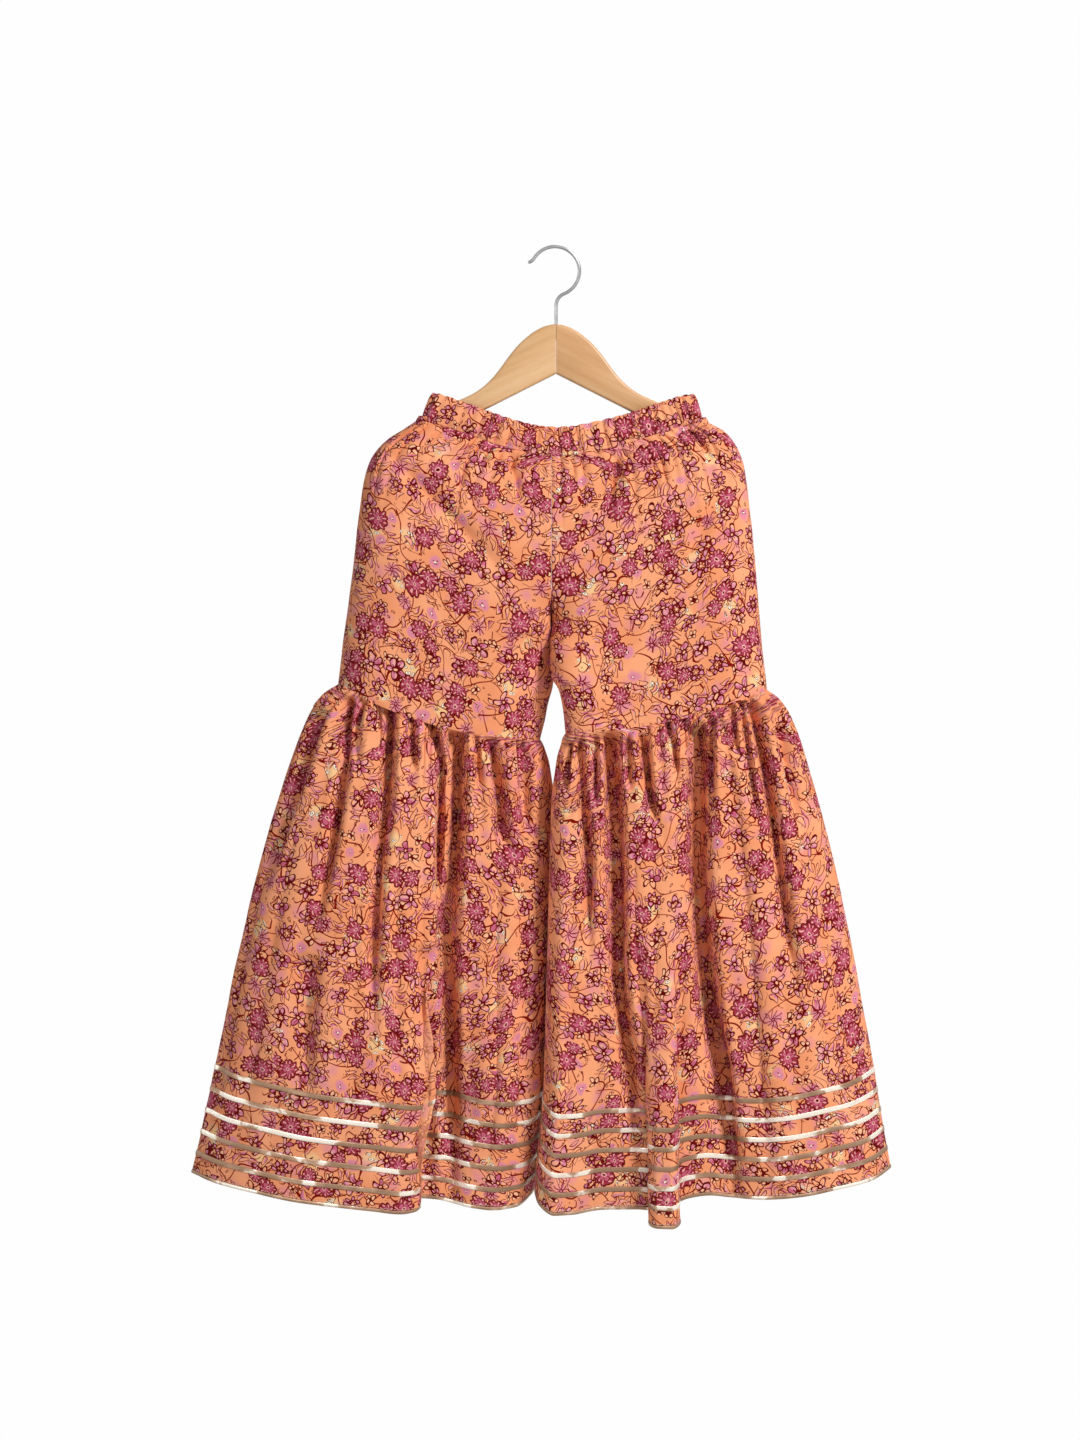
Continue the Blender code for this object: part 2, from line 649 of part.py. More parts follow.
def make_hook():
    """Bent steel wire: a turned-out tip, a round bow, a neck and a straight stem."""
    bow = (BOW_X, -(BOW_RADIUS - WIRE / 2))
    tip_reach = BOW_RADIUS + TIP_RADIUS
    tip = (bow[0] + tip_reach * cos(radians(TIP_ANGLE)), bow[1] + tip_reach * sin(radians(TIP_ANGLE)))
    neck_reach = BOW_RADIUS + NECK_RADIUS
    neck_x = NECK_RADIUS
    neck_angle = -degrees(acos((neck_x - bow[0]) / neck_reach))
    neck = (neck_x, bow[1] + neck_reach * sin(radians(neck_angle)))
    route = arc(tip, TIP_RADIUS, TIP_ANGLE + 180 - TIP_TURN, TIP_ANGLE + 180, 5)
    route += arc(bow, BOW_RADIUS, TIP_ANGLE, neck_angle, 22)[1:]
    route += arc(neck, NECK_RADIUS, neck_angle + 180, 180, 6)[1:]
    route += [(0.0, ARM_TOP[0][1] + 4), (0.0, ARM_TOP[0][1] - STEM_DEPTH)]
    curve = bpy.data.curves.new("hanger_hook", "CURVE")
    curve.dimensions = "3D"
    curve.bevel_depth = WIRE / 2 * MM
    curve.bevel_resolution = 3
    curve.render_resolution_u = 0
    curve.use_fill_caps = True
    spline = curve.splines.new("POLY")
    spline.points.add(len(route) - 1)
    for point, (x, z) in zip(spline.points, route):
        point.co = (x * MM, 0, z * MM, 1)
    curve.materials.append(material("polished steel wire", 0xC8C8CA, 0.2, 1.0))
    hook = bpy.data.objects.new("hanger_hook", curve)
    bpy.context.collection.objects.link(hook)


def arm_outline(side):
    """Outline of one arm from the middle of its top round to the middle of its underside."""
    tip = ARM_TIP[side]
    top = list(ARM_TOP) + [(mix(96.0, tip, 0.5), -142.3), (tip - 5.5, -143.6)]
    end = [(tip - 2.4, -146.0), (tip, ARM_TIP_Z), (tip - 1.0, -154.0), (tip - 6, -157.5)]
    under = [(tip - 15, -159.0), (mix(82.0, tip - 15, 0.4), -157.0)]
    slope = [(76.0, ARM_FOOT_Z - ARM_FOOT_SLOPE * 76.0), (0.0, ARM_FOOT_Z)]
    return [(side * x, z) for x, z in top + end + under + slope]


def make_bore():
    """Guide for the hole that takes the hook's stem."""
    bm = bmesh.new()
    depth = STEM_DEPTH + 10
    place = Matrix.Translation((0, 0, ARM_TOP[0][1] - STEM_DEPTH - SEAM_GAP + depth / 2))
    bmesh.ops.create_cone(bm, cap_ends=True, segments=16, radius1=WIRE / 2 + SEAM_GAP,
                          radius2=WIRE / 2 + SEAM_GAP, depth=depth, matrix=place)
    guide = finish_object("bore_guide", bm, material("guide", 0x808080, 0.5))
    guide.hide_render = True
    guide.display_type = "WIRE"
    return guide


def make_arms():
    """Two wooden arms that meet in a mitre under the hook."""
    beech = material("beech", 0xDDAE7C, 0.55)
    bore = make_bore()
    for side, name in ((LEFT, "hanger_left_arm"), (RIGHT, "hanger_right_arm")):
        outline = arm_outline(side)
        far_side = [(-x, z) for x, z in ((side * 9.0, ARM_TOP[1][1]), (side * 9.0, ARM_FOOT_Z - 4.5))]
        bm = bmesh.new()
        corners = [bm.verts.new((x, -WOOD / 2, z)) for x, z in outline + [far_side[1], far_side[0]]]
        face = bm.faces.new(corners)
        pushed = bmesh.ops.extrude_face_region(bm, geom=[face])
        moved = [item for item in pushed["geom"] if isinstance(item, bmesh.types.BMVert)]
        bmesh.ops.translate(bm, vec=(0, WOOD, 0), verts=moved)
        arrises = [edge for edge in bm.edges if abs(edge.verts[0].co.y - edge.verts[1].co.y) < 0.1]
        bmesh.ops.bevel(bm, geom=arrises, offset=WOOD_EDGE, segments=2, profile=0.5,
                        affect="EDGES", clamp_overlap=True, material=-1)
        everything = bm.verts[:] + bm.edges[:] + bm.faces[:]
        cut = bmesh.ops.bisect_plane(bm, geom=everything, plane_co=(side * SEAM_GAP / 2, 0, 0),
                                     plane_no=(-side, 0, 0), clear_outer=True)
        rim = [item for item in cut["geom_cut"] if isinstance(item, bmesh.types.BMEdge)]
        bmesh.ops.edgeloop_fill(bm, edges=rim)
        arm = finish_object(name, bm, beech)
        hole = arm.modifiers.new("bore", "BOOLEAN")
        hole.operation = "DIFFERENCE"
        hole.object = bore


def clear_scene():
    for item in list(bpy.data.objects):
        bpy.data.objects.remove(item, do_unlink=True)


def main():
    clear_scene()
    make_hook()
    make_arms()
    make_waistband()
    make_yokes()
    make_flares()


main()
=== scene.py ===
"""Looks of the sharara trousers on their wooden hanger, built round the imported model.

Left and right are as seen from the front. The front faces -Y, +X is to the right and +Z is up.
Tables and sizes are in millimetres; meshes are scaled to metres when they are finished.
"""
from bisect import bisect_right
from functools import partial, reduce
from math import acos, cos, degrees, exp, hypot, pi, radians, sin, sqrt
from random import Random

import bmesh
import bpy
from mathutils import Matrix, Vector, noise


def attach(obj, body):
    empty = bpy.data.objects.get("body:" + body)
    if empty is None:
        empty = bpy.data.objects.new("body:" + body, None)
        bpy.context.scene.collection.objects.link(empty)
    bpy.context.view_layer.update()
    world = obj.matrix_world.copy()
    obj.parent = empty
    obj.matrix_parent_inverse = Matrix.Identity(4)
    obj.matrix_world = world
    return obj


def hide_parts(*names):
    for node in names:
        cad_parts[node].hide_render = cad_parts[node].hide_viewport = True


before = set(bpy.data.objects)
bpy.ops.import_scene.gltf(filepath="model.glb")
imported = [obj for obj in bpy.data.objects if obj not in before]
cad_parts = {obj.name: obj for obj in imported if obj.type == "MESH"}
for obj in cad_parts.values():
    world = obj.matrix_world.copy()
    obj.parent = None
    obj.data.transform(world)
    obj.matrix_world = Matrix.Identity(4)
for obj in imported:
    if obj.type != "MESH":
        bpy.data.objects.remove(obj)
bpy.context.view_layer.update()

MM = 0.001
LEFT, RIGHT = -1, 1
FRONT, BACK = -1, 1
SIDES = ((LEFT, "left"), (RIGHT, "right"))

# Cloth
COTTON = 0.9               # thickness of the printed cotton
CENTRE_X = -4.0            # centre front and centre back seams
SEAM_GAP = 0.3
TUCK = 5.0                 # a piece's hidden top edge: how far up behind the piece above it
YOKE_TUCK_IN = 1.3         # and how far in
FLARE_TUCK_IN = 2.6
EDGE_ROLL = ((-0.3, -1.0), (-1.3, -1.1))    # rolled lower edge of the upper legs: out, up

# Waistband
BAND_COLUMNS = 210         # for each face
BAND_HEIGHT = 26.0
BAND_MIDDLE_Z = -161.3     # top edge at the centre
# Top edge: distance from the centre, height above the centre on the left and on the right
BAND_LINE = (
    (0, 0, 0), (15, 1.5, 1.1), (30, 4.6, 3.9), (45, 9, 7.2), (62, 15, 11.7), (77, 20.4, 16.6),
    (94, 26.4, 22.4), (104, 29.6, 25.7), (112, 31.2, 28), (118, 31.7, 29.3), (130, 31.9, 30.4),
)
BAND_SPREAD = {LEFT: 6.5, RIGHT: 5.0}       # lower edge beyond the top edge at the ends
BAND_REACH = {LEFT: 111.6, RIGHT: 125.0}
BAND_DEPTH = 11.0          # half of its thickness from front to back
BAND_TAKE_UP = 1.12        # print taken up by its gathers
CASING_CORE = -1.3         # the elastic, from the outside
CASING_MIDDLE = 9          # row of the section half-way down the outside
CASING_STITCHED = 4        # row that carries the stitches
# Section of the casing from the seam up the outside, over the fold and down the inside: drop, out
CASING_SECTION = (
    (26.2, -1.3), (25.9, -0.5), (25.2, 0.1), (24.2, 0.3), (23.2, 0.05), (22.6, -0.25), (22, 0.05),
    (20.6, 0.5), (17, 0.8), (13, 0.9), (9, 0.9), (5.5, 0.8), (3, 0.45), (1.3, 0), (0.3, -0.6), (0, -1.2),
    (0.3, -1.8), (1.5, -2.3), (5, -2.4), (12, -2.4), (20, -2.4), (25, -2.3), (26, -1.9),
)

# Upper legs
WAIST_Z = BAND_MIDDLE_Z - BAND_HEIGHT - SEAM_GAP
KNEE_RISE = {LEFT: 49.0, RIGHT: 37.8}       # knee seam, outer side above inner side
KNEE_Z = {LEFT: -441.5, RIGHT: -435.0}      # knee seam at the inner side
CROTCH_Z = -338.0
CROTCH_CURVE = 38.0
LEG_LAP = 15.0             # inner side of the right leg before that of the left leg
LAP_WIDTH = 34.0
LAP_FALL = 30.0
YOKE_COLUMNS = 112         # for each face
YOKE_ROWS = 78
# level, outer side left, outer side right, half depth, rounding of the sides
YOKE_LEVELS = (
    (0, 127, 138, 11, 11), (0.03, 137.5, 151, 13, 16), (0.06, 149, 158, 15.5, 24),
    (0.1, 159.5, 164, 18.5, 29), (0.15, 167.3, 168.5, 20.5, 32), (0.22, 172.6, 171.3, 22.5, 34),
    (0.28, 175, 173.2, 23.5, 36), (0.42, 179.2, 177, 25.5, 38), (0.6, 184, 180.7, 26.5, 40),
    (0.8, 190.5, 184.7, 26.5, 40), (1, 196.2, 190, 26, 40),
)
# z, inner side of the left leg, of the right leg
INNER_LEVELS = (
    (-337, -3.8, -4.2), (-350, -3.2, -4.8), (-368, -2.6, -5.2), (-387, -2.2, -4.2), (-391, -2.4, -1.6),
    (-396, -3.2, 1.8), (-410, -7.2, 5.4), (-424.5, -9.9, 7.3), (-439, -13.6, 8.6), (-441.5, -14.2, 9),
)

# Flares
BORDER = 105.0             # height of the straight border that carries the ribbons
FOLDS_FRONT = 14
FOLDS_BACK = 12
FOLDS_ROUND = FOLDS_FRONT + FOLDS_BACK
FLARE_FINE = 12            # columns for each gather
FLARE_MIDDLE = FLARE_FINE * FOLDS_FRONT // 2
FLARE_ROWS = 84            # knee seam to border
BORDER_ROWS = 26
BORDER_NARROW = {LEFT: 0.951, RIGHT: 0.913}
BORDER_SHIFT = {LEFT: 8.2, RIGHT: 6.8}
BORDER_DEPTH = 1.14
INNER_SWELL = {LEFT: 10.0, RIGHT: 5.2}
SWELL_WIDTH = 30.0
BORDER_TUCK = {LEFT: 4.0, RIGHT: 0.8}       # more width at the inner side of the border's top
BORDER_TUCK_WIDTH = 24.0
BACK_HEM_DEPTH = 42.0
BACK_HEM_WAVE = 4.5
BACK_HEM_Z = {LEFT: -855.0, RIGHT: -849.0}
# level, share of the widening, share of the inner swell
FLARE_LEVELS = (
    (0, 0, 0), (0.03, 0.13, 0.25), (0.08, 0.24, 0.65), (0.2, 0.395, 1), (0.45, 0.62, 0.66),
    (0.75, 0.84, 0.32), (1, 1, 0),
)
# Gathers of the front: x at the knee seam, depth below the seam, reach (1 is the border)
GATHERS = {
    LEFT: (
        (-14.2, 2, 0.3), (-26, 4, 0.35), (-36, 4, 0.4), (-50, 7, 0.7), (-66, 4.5, 0.45), (-81, 7.5, 0.9),
        (-95, 7, 0.8), (-111, 5, 0.5), (-130, 5.5, 0.55), (-146, 8.5, 0.8), (-158, 5, 0.5),
        (-169, 5.5, 0.55), (-178, 5, 0.55), (-187, 6, 0.65), (-196.2, 2, 0.3),
    ),
    RIGHT: (
        (9, 2, 0.3), (22, 4, 0.35), (35, 7.5, 0.8), (51, 8, 0.85), (66, 6.5, 0.95), (80, 5, 0.5),
        (93, 4.5, 0.5), (106, 5, 0.55), (118, 4.5, 0.45), (129, 8.5, 0.95), (142, 7, 0.8), (154, 5, 0.5),
        (166, 5.5, 0.55), (179, 6, 0.6), (190, 2, 0.3),
    ),
}
# Front hems: place (in gathers of the knee seam), x, distance in front of the mid-plane, z
HEMS = {
    LEFT: (
        (0, -18.6, 0, -846), (0.6, -24.5, 17, -853), (1.4, -36, 27, -861.5), (2.5, -56, 31, -864),
        (3.5, -75, 26, -862), (4.3, -91, 20, -858.5), (5, -108, 18, -854.5), (5.5, -125, 19.5, -853.5),
        (6, -132, 25.5, -855.5), (6.5, -126.5, 32, -858), (7, -119.5, 38.5, -860.5),
        (7.5, -124.5, 44, -864), (8, -139, 46, -866.5), (9, -167, 47.5, -863.5), (10, -199, 47.5, -860),
        (11, -235, 44, -855.5), (12, -271, 36, -848), (13, -305, 21, -840), (14, -327.6, 0, -831.3),
    ),
    RIGHT: (
        (0, -19.4, 0, -846), (0.5, -15.5, 16, -858), (1.1, -2, 31, -868), (1.9, 14, 30, -867.5),
        (2.8, 42, 34, -863), (3.8, 71, 32, -862.8), (4.5, 89, 31.5, -866), (5, 83, 41, -875.5),
        (5.5, 90, 51, -879), (6, 103.5, 51.5, -879.5), (6.5, 110.7, 42.5, -874), (7, 105, 31, -862.5),
        (7.5, 118, 27, -853.5), (8.2, 138, 24, -850.7), (8.9, 157, 25, -852.5), (9.9, 186, 34, -854),
        (11, 219, 40, -851.5), (12.2, 254, 36, -844.5), (13.2, 285, 21, -837), (14, 300.6, 0, -826.8),
    ),
}

# Deep folds of the front: width of the shaded side, depth, then points (x, z) down the fold
FOLDS = {
    LEFT: (
        (7, 4, (-210.6, -417.3), (-227.7, -474), (-247.5, -532.5), (-261, -591)),
        (6, 5, (-183.6, -406.5), (-188.1, -460.5), (-201.6, -555), (-216.9, -627)),
        (5, 3, (-172.8, -406.5), (-176.4, -438), (-178.2, -474)),
        (3.5, 3, (-158.4, -410.1), (-155.7, -438), (-154.8, -474)),
        (7, 6, (-145.8, -413.7), (-148.5, -478.5), (-156.6, -568.5), (-162.9, -730.5)),
        (4, 3, (-128.7, -420.9), (-126.9, -442.5), (-125.1, -474)),
        (5, 6, (-109.8, -426.3), (-99.9, -465), (-100.8, -550.5), (-104.4, -613.5)),
        (8, 8.5, (-84.6, -435.3), (-84.6, -505.5), (-90.9, -613.5), (-91.8, -890)),
        (4, 3, (-70.2, -438.9), (-68.4, -460.5), (-67.5, -492)),
        (6, 5, (-54.9, -444.3), (-45.9, -496.5), (-44.1, -523.5), (-31.5, -559.5)),
        (5, 3.5, (-27, -447), (-24.3, -487.5), (-23.4, -532.5)),
        (14, 3.5, (-109.8, -631.5), (-111.6, -730.5), (-113.4, -890)),
        (12, 3.5, (-216, -640.5), (-219.6, -703.5), (-221.4, -775.5)),
    ),
    RIGHT: (
        (4, 3.5, (12.6, -447), (10.8, -465), (9, -492)),
        (5, 4.5, (23.4, -444.3), (27.9, -505.5), (32.4, -559.5), (30.6, -649.5)),
        (4, 4, (38.7, -440.7), (37.8, -474), (36.9, -510)),
        (8, 9, (54, -438.9), (58.5, -523.5), (59.4, -640.5), (70, -735), (80, -840)),
        (4, 3, (65.7, -440.7), (66.6, -460.5), (67.5, -492)),
        (4.5, 5, (80.1, -440.7), (86.4, -487.5), (94.5, -528)),
        (4, 3.5, (102.6, -426.3), (107.1, -447), (112.5, -478.5)),
        (4, 3, (116.1, -422.7), (117, -438), (118.8, -465)),
        (9, 10, (132.3, -431.7), (133.2, -541.5), (141, -667.5), (152, -735), (165, -890)),
        (4, 4.5, (142.2, -424.5), (141.3, -465), (139.5, -510)),
        (4, 3, (159.3, -411), (162, -438), (163.8, -465)),
        (4, 3, (168.3, -406.5), (176.4, -469.5), (183.6, -528)),
        (6, 6, (180.9, -411), (192.6, -478.5), (207, -577.5), (219.6, -690)),
        (5, 3, (204.3, -431.7), (213.3, -474), (222.3, -528)),
    ),
}

# Soft creases of the front: x and z of both ends, half width, depth
CREASES = (
    (-152, -186, -52, -290, 6.5, 4.2), (-43.6, -181, -34, -226, 3.5, 3.6), (-96, -188, -72, -236, 6, 1.8),
    (57.6, -181, 46, -236, 3.5, 4.6), (114, -156, 143, -194, 4.5, 3.2), (52, -226, 22, -268, 5, 1.6),
    (156, -202, 118, -274, 6, 2.6), (-136, -329, -74, -404, 1.4, 0.8),
)

# Metallic ribbon
RIBBON_ROWS = 5
RIBBON_WIDTH = 4.5
RIBBON_THICKNESS = 0.35
RIBBON_FIRST = 18.0
RIBBON_STEP = {LEFT: 19.2, RIGHT: 17.6}
# Sections: share of the width (edging: height above the hem), distance out
RIBBON_SECTION = ((0.5, 0.4), (0.42, 0.58), (0.2, 0.62), (-0.2, 0.62), (-0.42, 0.58), (-0.5, 0.4))
EDGING_SECTION = ((2.6, 0.3), (1.9, 0.5), (0.8, 0.6), (0.0, 0.45), (-0.5, -0.1), (-0.5, -0.9),
                  (0.2, -1.4), (1.8, -1.35))

# Stitches: step, length, width, distance off the cloth
CASING_STITCH = (3.4, 2.5, 0.5, 0.15)
HEM_STITCH = (3.2, 2.2, 0.5, 0.12)
HEM_STITCH_Z = 3.6         # above the hem

# Hanger
WIRE = 3.2
BOW_RADIUS = 22.0
BOW_X = -0.9
TIP_ANGLE = 148.0
TIP_RADIUS = 9.0
TIP_TURN = 45.0
NECK_RADIUS = 12.0
STEM_DEPTH = 14.0
WOOD = 12.0
WOOD_EDGE = 2.6
MITRE_EDGE = 0.35
MITRE_GAP = 0.12           # from each arm to the middle
# Top edge of an arm: distance from the middle, z
ARM_TOP = (
    (0, -68.1), (9, -69.8), (18, -74), (27, -80.6), (36, -89.3), (44, -99.5), (51, -109.2), (58, -117.6),
    (66, -125), (75, -131), (85, -135.8), (96, -140),
)
ARM_TOP_LAST_Z = -142.3    # half-way from there to the tip
ARM_STEPS = 56
# End of an arm: distance back from its tip, z
ARM_END = (
    (5.5, -143.6), (3.6, -144.4), (2, -145.8), (0.7, -147.6), (0, -149.5), (0.2, -152), (1.4, -154.4),
    (3.4, -156.3), (6, -157.5), (15, -158.2),
)
ARM_NOTCH = ((82.0, -156.6), (81.0, -153.9))    # where the under side turns up to the foot
ARM_FOOT_X = 76.0
ARM_FOOT_Z = -113.1
ARM_FOOT_SLOPE = 0.505
ARM_START = -9.0           # drawn past the middle, then cut at the mitre
ARM_TIP = {LEFT: 114.0, RIGHT: 126.0}

# Studio, in metres
SENSOR = 36.0              # mm
CAMERA_PLACE = (-0.0144, -8.0, -0.4245)
VIEW_HEIGHT = 1.296        # of the photograph's frame, at the trousers
LAMP_AIM = (0, 0, -0.45)
# name, place, size, power
LAMPS = (
    ("key", (1.95, -2.1, 1.5), 0.7, 106.0), ("left box", (-2.8, -1.5, 0.2), 0.8, 17.0),
    ("right box", (1.0, -3.4, -0.3), 0.8, 6.0), ("back", (0.6, 1.8, 1.2), 1.2, 14.0),
)


# Curves

def smooth(knots, values):
    """Return a smooth curve through the values which never swings past them."""
    steps = [right - left for left, right in zip(knots, knots[1:])]
    rises = [(right - left) / step for left, right, step in zip(values, values[1:], steps)]
    slopes = [rises[0]]
    for before, after in zip(rises, rises[1:]):
        slopes.append(2 * before * after / (before + after) if before * after > 0 else 0.0)
    slopes.append(rises[-1])

    def curve(place):
        place = min(max(place, knots[0]), knots[-1])
        index = min(bisect_right(knots, place), len(steps)) - 1
        share = (place - knots[index]) / steps[index]
        rest = 1 - share
        start = values[index] * (1 + 2 * share) + slopes[index] * steps[index] * share
        end = values[index + 1] * (1 + 2 * rest) - slopes[index + 1] * steps[index] * rest
        return start * rest * rest + end * share * share

    return curve


def column(table, value):
    """Return a smooth curve through one column of a table, over its first column."""
    rows = sorted(table)
    return smooth([row[0] for row in rows], [row[value] for row in rows])


def pair(table):
    """Return the curves through a table's second and third columns, for the left and the right."""
    return {LEFT: column(table, 1), RIGHT: column(table, 2)}


def mix(first, second, share):
    return first + (second - first) * share


def ease(value):
    """Rise smoothly from 0 to 1."""
    value = min(max(value, 0.0), 1.0)
    return value * value * (3 - 2 * value)


def flat_end(distance, rounding):
    """Share of the full depth at a distance from the side of a flattened tube."""
    return sqrt(1 - (1 - min(max(distance / rounding, 0.0), 1.0)) ** 2)


def shift_row(points, distances, turn, closed):
    """Move a row of points outwards in plan, by one distance or by one for each point."""
    last = len(points) - 1
    if not isinstance(distances, list):
        distances = [distances] * len(points)
    moved = []
    for index, point in enumerate(points):
        before = points[index - 1] if index or closed else point
        after = points[index + 1] if index < last else points[0] if closed else point
        way = Vector((after[1] - before[1], before[0] - after[0])).normalized() * turn
        step = distances[index]
        moved.append((point[0] + way.x * step, point[1] + way.y * step, point[2]))
    return moved


def raise_row(points, height):
    return [(x, y, z + height) for x, y, z in points]


def crumple(x, y, z, size):
    """Soft uneven height between about -1 and 1, of a given size across."""
    return noise.noise(Vector((x, y * 2.0, z * 0.8)) / size)


def crease(x, z):
    """Depth of the soft creases of the front at a place."""
    deep = 0.0
    for start_x, start_z, end_x, end_z, width, depth in CREASES:
        run_x, run_z = end_x - start_x, end_z - start_z
        length = hypot(run_x, run_z)
        along = ((x - start_x) * run_x + (z - start_z) * run_z) / length ** 2
        if 0 < along < 1:
            across = ((x - start_x) * run_z - (z - start_z) * run_x) / length / width
            across *= 0.75 if across < 0 else 2.0
            deep += 1.8 * depth * sqrt(sin(pi * along)) * exp(-across * across)
    return deep


def fold_lines(side):
    """Curves of the deep folds of a flare's front."""
    lines = []
    for width, depth, *points in FOLDS[side]:
        points = sorted((z, x) for x, z in points)
        lines.append((width, depth, column(points, 1), points[-1][0], points[0][0]))
    return lines


def fold_depth(lines, x, z):
    """Depth of the folds at a place: a long way down, then a steep shaded flank up to a crest."""
    deep, high = 0.0, 0.0
    for width, depth, line, top, foot in lines:
        if foot < z < top + 6:
            across = (x - line(z)) / (1.3 * width) + 0.2
            if -2 < across < 2.6:
                run = (top - z) / (top - foot)
                held = ease((top - z + 6) / 9) * (1 - ease((run - 0.6) / 0.4))
                flank = 0.85 if across < 0 else 0.42
                deep = max(deep, 2.8 * depth * held * exp(-(across / flank) ** 2))
                high = max(high, 0.35 * depth * held * exp(-((across - 1.1) / 0.5) ** 2))
    return deep - high


class Gathers:
    """Uneven small folds side by side: where each valley lies, its depth and its reach."""

    def __init__(self, seed, length, spacing, depth, reach):
        draw = Random(seed)
        places = [0.0]
        while places[-1] < length:
            places.append(places[-1] + spacing * draw.uniform(0.6, 1.45))
        self.places = [place * length / places[-1] for place in places]
        self.depths = [depth * draw.uniform(0.45, 1.45) for _ in places]
        self.reaches = [draw.uniform(*reach) for _ in places]
        self.depths[-1], self.reaches[-1] = self.depths[0], self.reaches[0]

    def height(self, place, fall):
        index = min(max(bisect_right(self.places, place), 1), len(self.places) - 1) - 1
        share = (place - self.places[index]) / (self.places[index + 1] - self.places[index])
        share = min(max(share, 0.0), 1.0)
        deep = mix(self.depths[index], self.depths[index + 1], share)
        reach = mix(self.reaches[index], self.reaches[index + 1], share)
        return deep * (sin(pi * share) ** 0.7 - 0.62) * (1 - ease(fall / reach))


# Meshes

def add_object(name, data):
    """Put a mesh, the camera or a lamp into the scene."""
    made = bpy.data.objects.new(name, data)
    bpy.context.scene.collection.objects.link(made)
    return made


def finish_piece(name, bm, finish, nodes=(), thickness=0.0, sharp=60):
    """Make a piece of a mesh in millimetres, on the one body, in place of the CAD nodes it covers."""
    bmesh.ops.scale(bm, vec=(MM, MM, MM), verts=bm.verts)
    mesh = bpy.data.meshes.new(name)
    bm.to_mesh(mesh)
    bm.free()
    mesh.shade_smooth()
    mesh.set_sharp_from_angle(angle=radians(sharp))
    for material in finish if isinstance(finish, tuple) else (finish,):
        mesh.materials.append(material)
    piece = add_object(name, mesh)
    if thickness:
        wall = piece.modifiers.new("thickness", "SOLIDIFY")
        wall.thickness = thickness * MM
        wall.offset = -1
        wall.use_quality_normals = True
        wall.material_offset = 1 if isinstance(finish, tuple) else 0
    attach(piece, "root")
    if nodes:
        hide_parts(*nodes)
    return piece


def cloth_grid(rows, across, along):
    """Weave a grid through rows of points, with its own UV map in metres, facing outwards."""
    columns, count = len(rows[0]) - 1, len(rows) - 1
    bm = bmesh.new()
    bmesh.ops.create_grid(bm, x_segments=columns, y_segments=count, size=1)
    weave = bm.loops.layers.uv.new("cloth")
    spots = {vert: (round((vert.co.y + 1) / 2 * count), round((vert.co.x + 1) / 2 * columns))
             for vert in bm.verts}
    for face in bm.faces:
        for loop in face.loops:
            row, place = spots[loop.vert]
            loop[weave].uv = (across[row][place] * MM, along[row][place] * MM)
    for vert, (row, place) in spots.items():
        vert.co = rows[row][place]
    bmesh.ops.remove_doubles(bm, verts=bm.verts, dist=0.001)
    bm.normal_update()
    middle = sum((vert.co for vert in bm.verts), Vector()) / len(bm.verts)
    if sum(face.normal.dot(face.calc_center_median() - middle) for face in bm.faces) < 0:
        bmesh.ops.reverse_faces(bm, faces=bm.faces)
    return bm


def lengths(row, start):
    """Distance of each point of a row from the start column, along the row."""
    run = [0.0]
    for first, second in zip(row, row[1:]):
        run.append(run[-1] + (Vector(second) - Vector(first)).length)
    return [distance - run[start] for distance in run]


def drops(rows):
    """Distance of each point from the first row, down its own column."""
    down = [[0.0] * len(rows[0])]
    for upper, lower in zip(rows, rows[1:]):
        steps = [(Vector(low) - Vector(high)).length for high, low in zip(upper, lower)]
        down.append([total - step for total, step in zip(down[-1], steps)])
    return down


# Waistband

def band_side(x):
    return LEFT if x < 0 else RIGHT


BAND_TOP = pair(BAND_LINE)


def band_edge(x, drop):
    """Point of the casing under its top edge at x, a distance down the slanted band."""
    side = band_side(x)
    share = abs(x) / BAND_REACH[side]
    rise = BAND_TOP[side](abs(x))
    slope = side * (BAND_TOP[side](abs(x) + 2) - BAND_TOP[side](max(abs(x) - 2, 0))) / 4
    length = hypot(1, slope)
    spread = side * BAND_SPREAD[side] * drop / BAND_HEIGHT * share ** 6
    return x + drop * slope / length + spread, BAND_MIDDLE_Z + rise - drop / length


def band_above(x):
    """Place on the casing's top edge from which its slanted gathers reach the seam at x."""
    top = x
    for _ in range(6):
        top -= band_edge(top, BAND_HEIGHT + SEAM_GAP)[0] - x
    return top


QUARTER = pi / 2 * BAND_DEPTH
STRAIGHT = BAND_REACH[LEFT] + BAND_REACH[RIGHT] - 2 * BAND_DEPTH
FACE_RUN = STRAIGHT + 2 * QUARTER


def band_run(x):
    """Distance round the casing from its left end to x."""
    from_left, from_right = x + BAND_REACH[LEFT], BAND_REACH[RIGHT] - x
    if from_left < BAND_DEPTH:
        return BAND_DEPTH * acos(1 - max(from_left, 0.0) / BAND_DEPTH)
    if from_right < BAND_DEPTH:
        return FACE_RUN - BAND_DEPTH * acos(1 - max(from_right, 0.0) / BAND_DEPTH)
    return QUARTER + from_left - BAND_DEPTH


def band_place(run):
    """Point of the casing in plan, a distance round its front from the left end."""
    left, right = -BAND_REACH[LEFT], BAND_REACH[RIGHT]
    if run < QUARTER:
        angle = run / BAND_DEPTH
        return left + BAND_DEPTH * (1 - cos(angle)), BAND_DEPTH * sin(angle)
    if run < QUARTER + STRAIGHT:
        return left + BAND_DEPTH + run - QUARTER, BAND_DEPTH
    angle = (run - QUARTER - STRAIGHT) / BAND_DEPTH
    return right - BAND_DEPTH * (1 - sin(angle)), BAND_DEPTH * cos(angle)


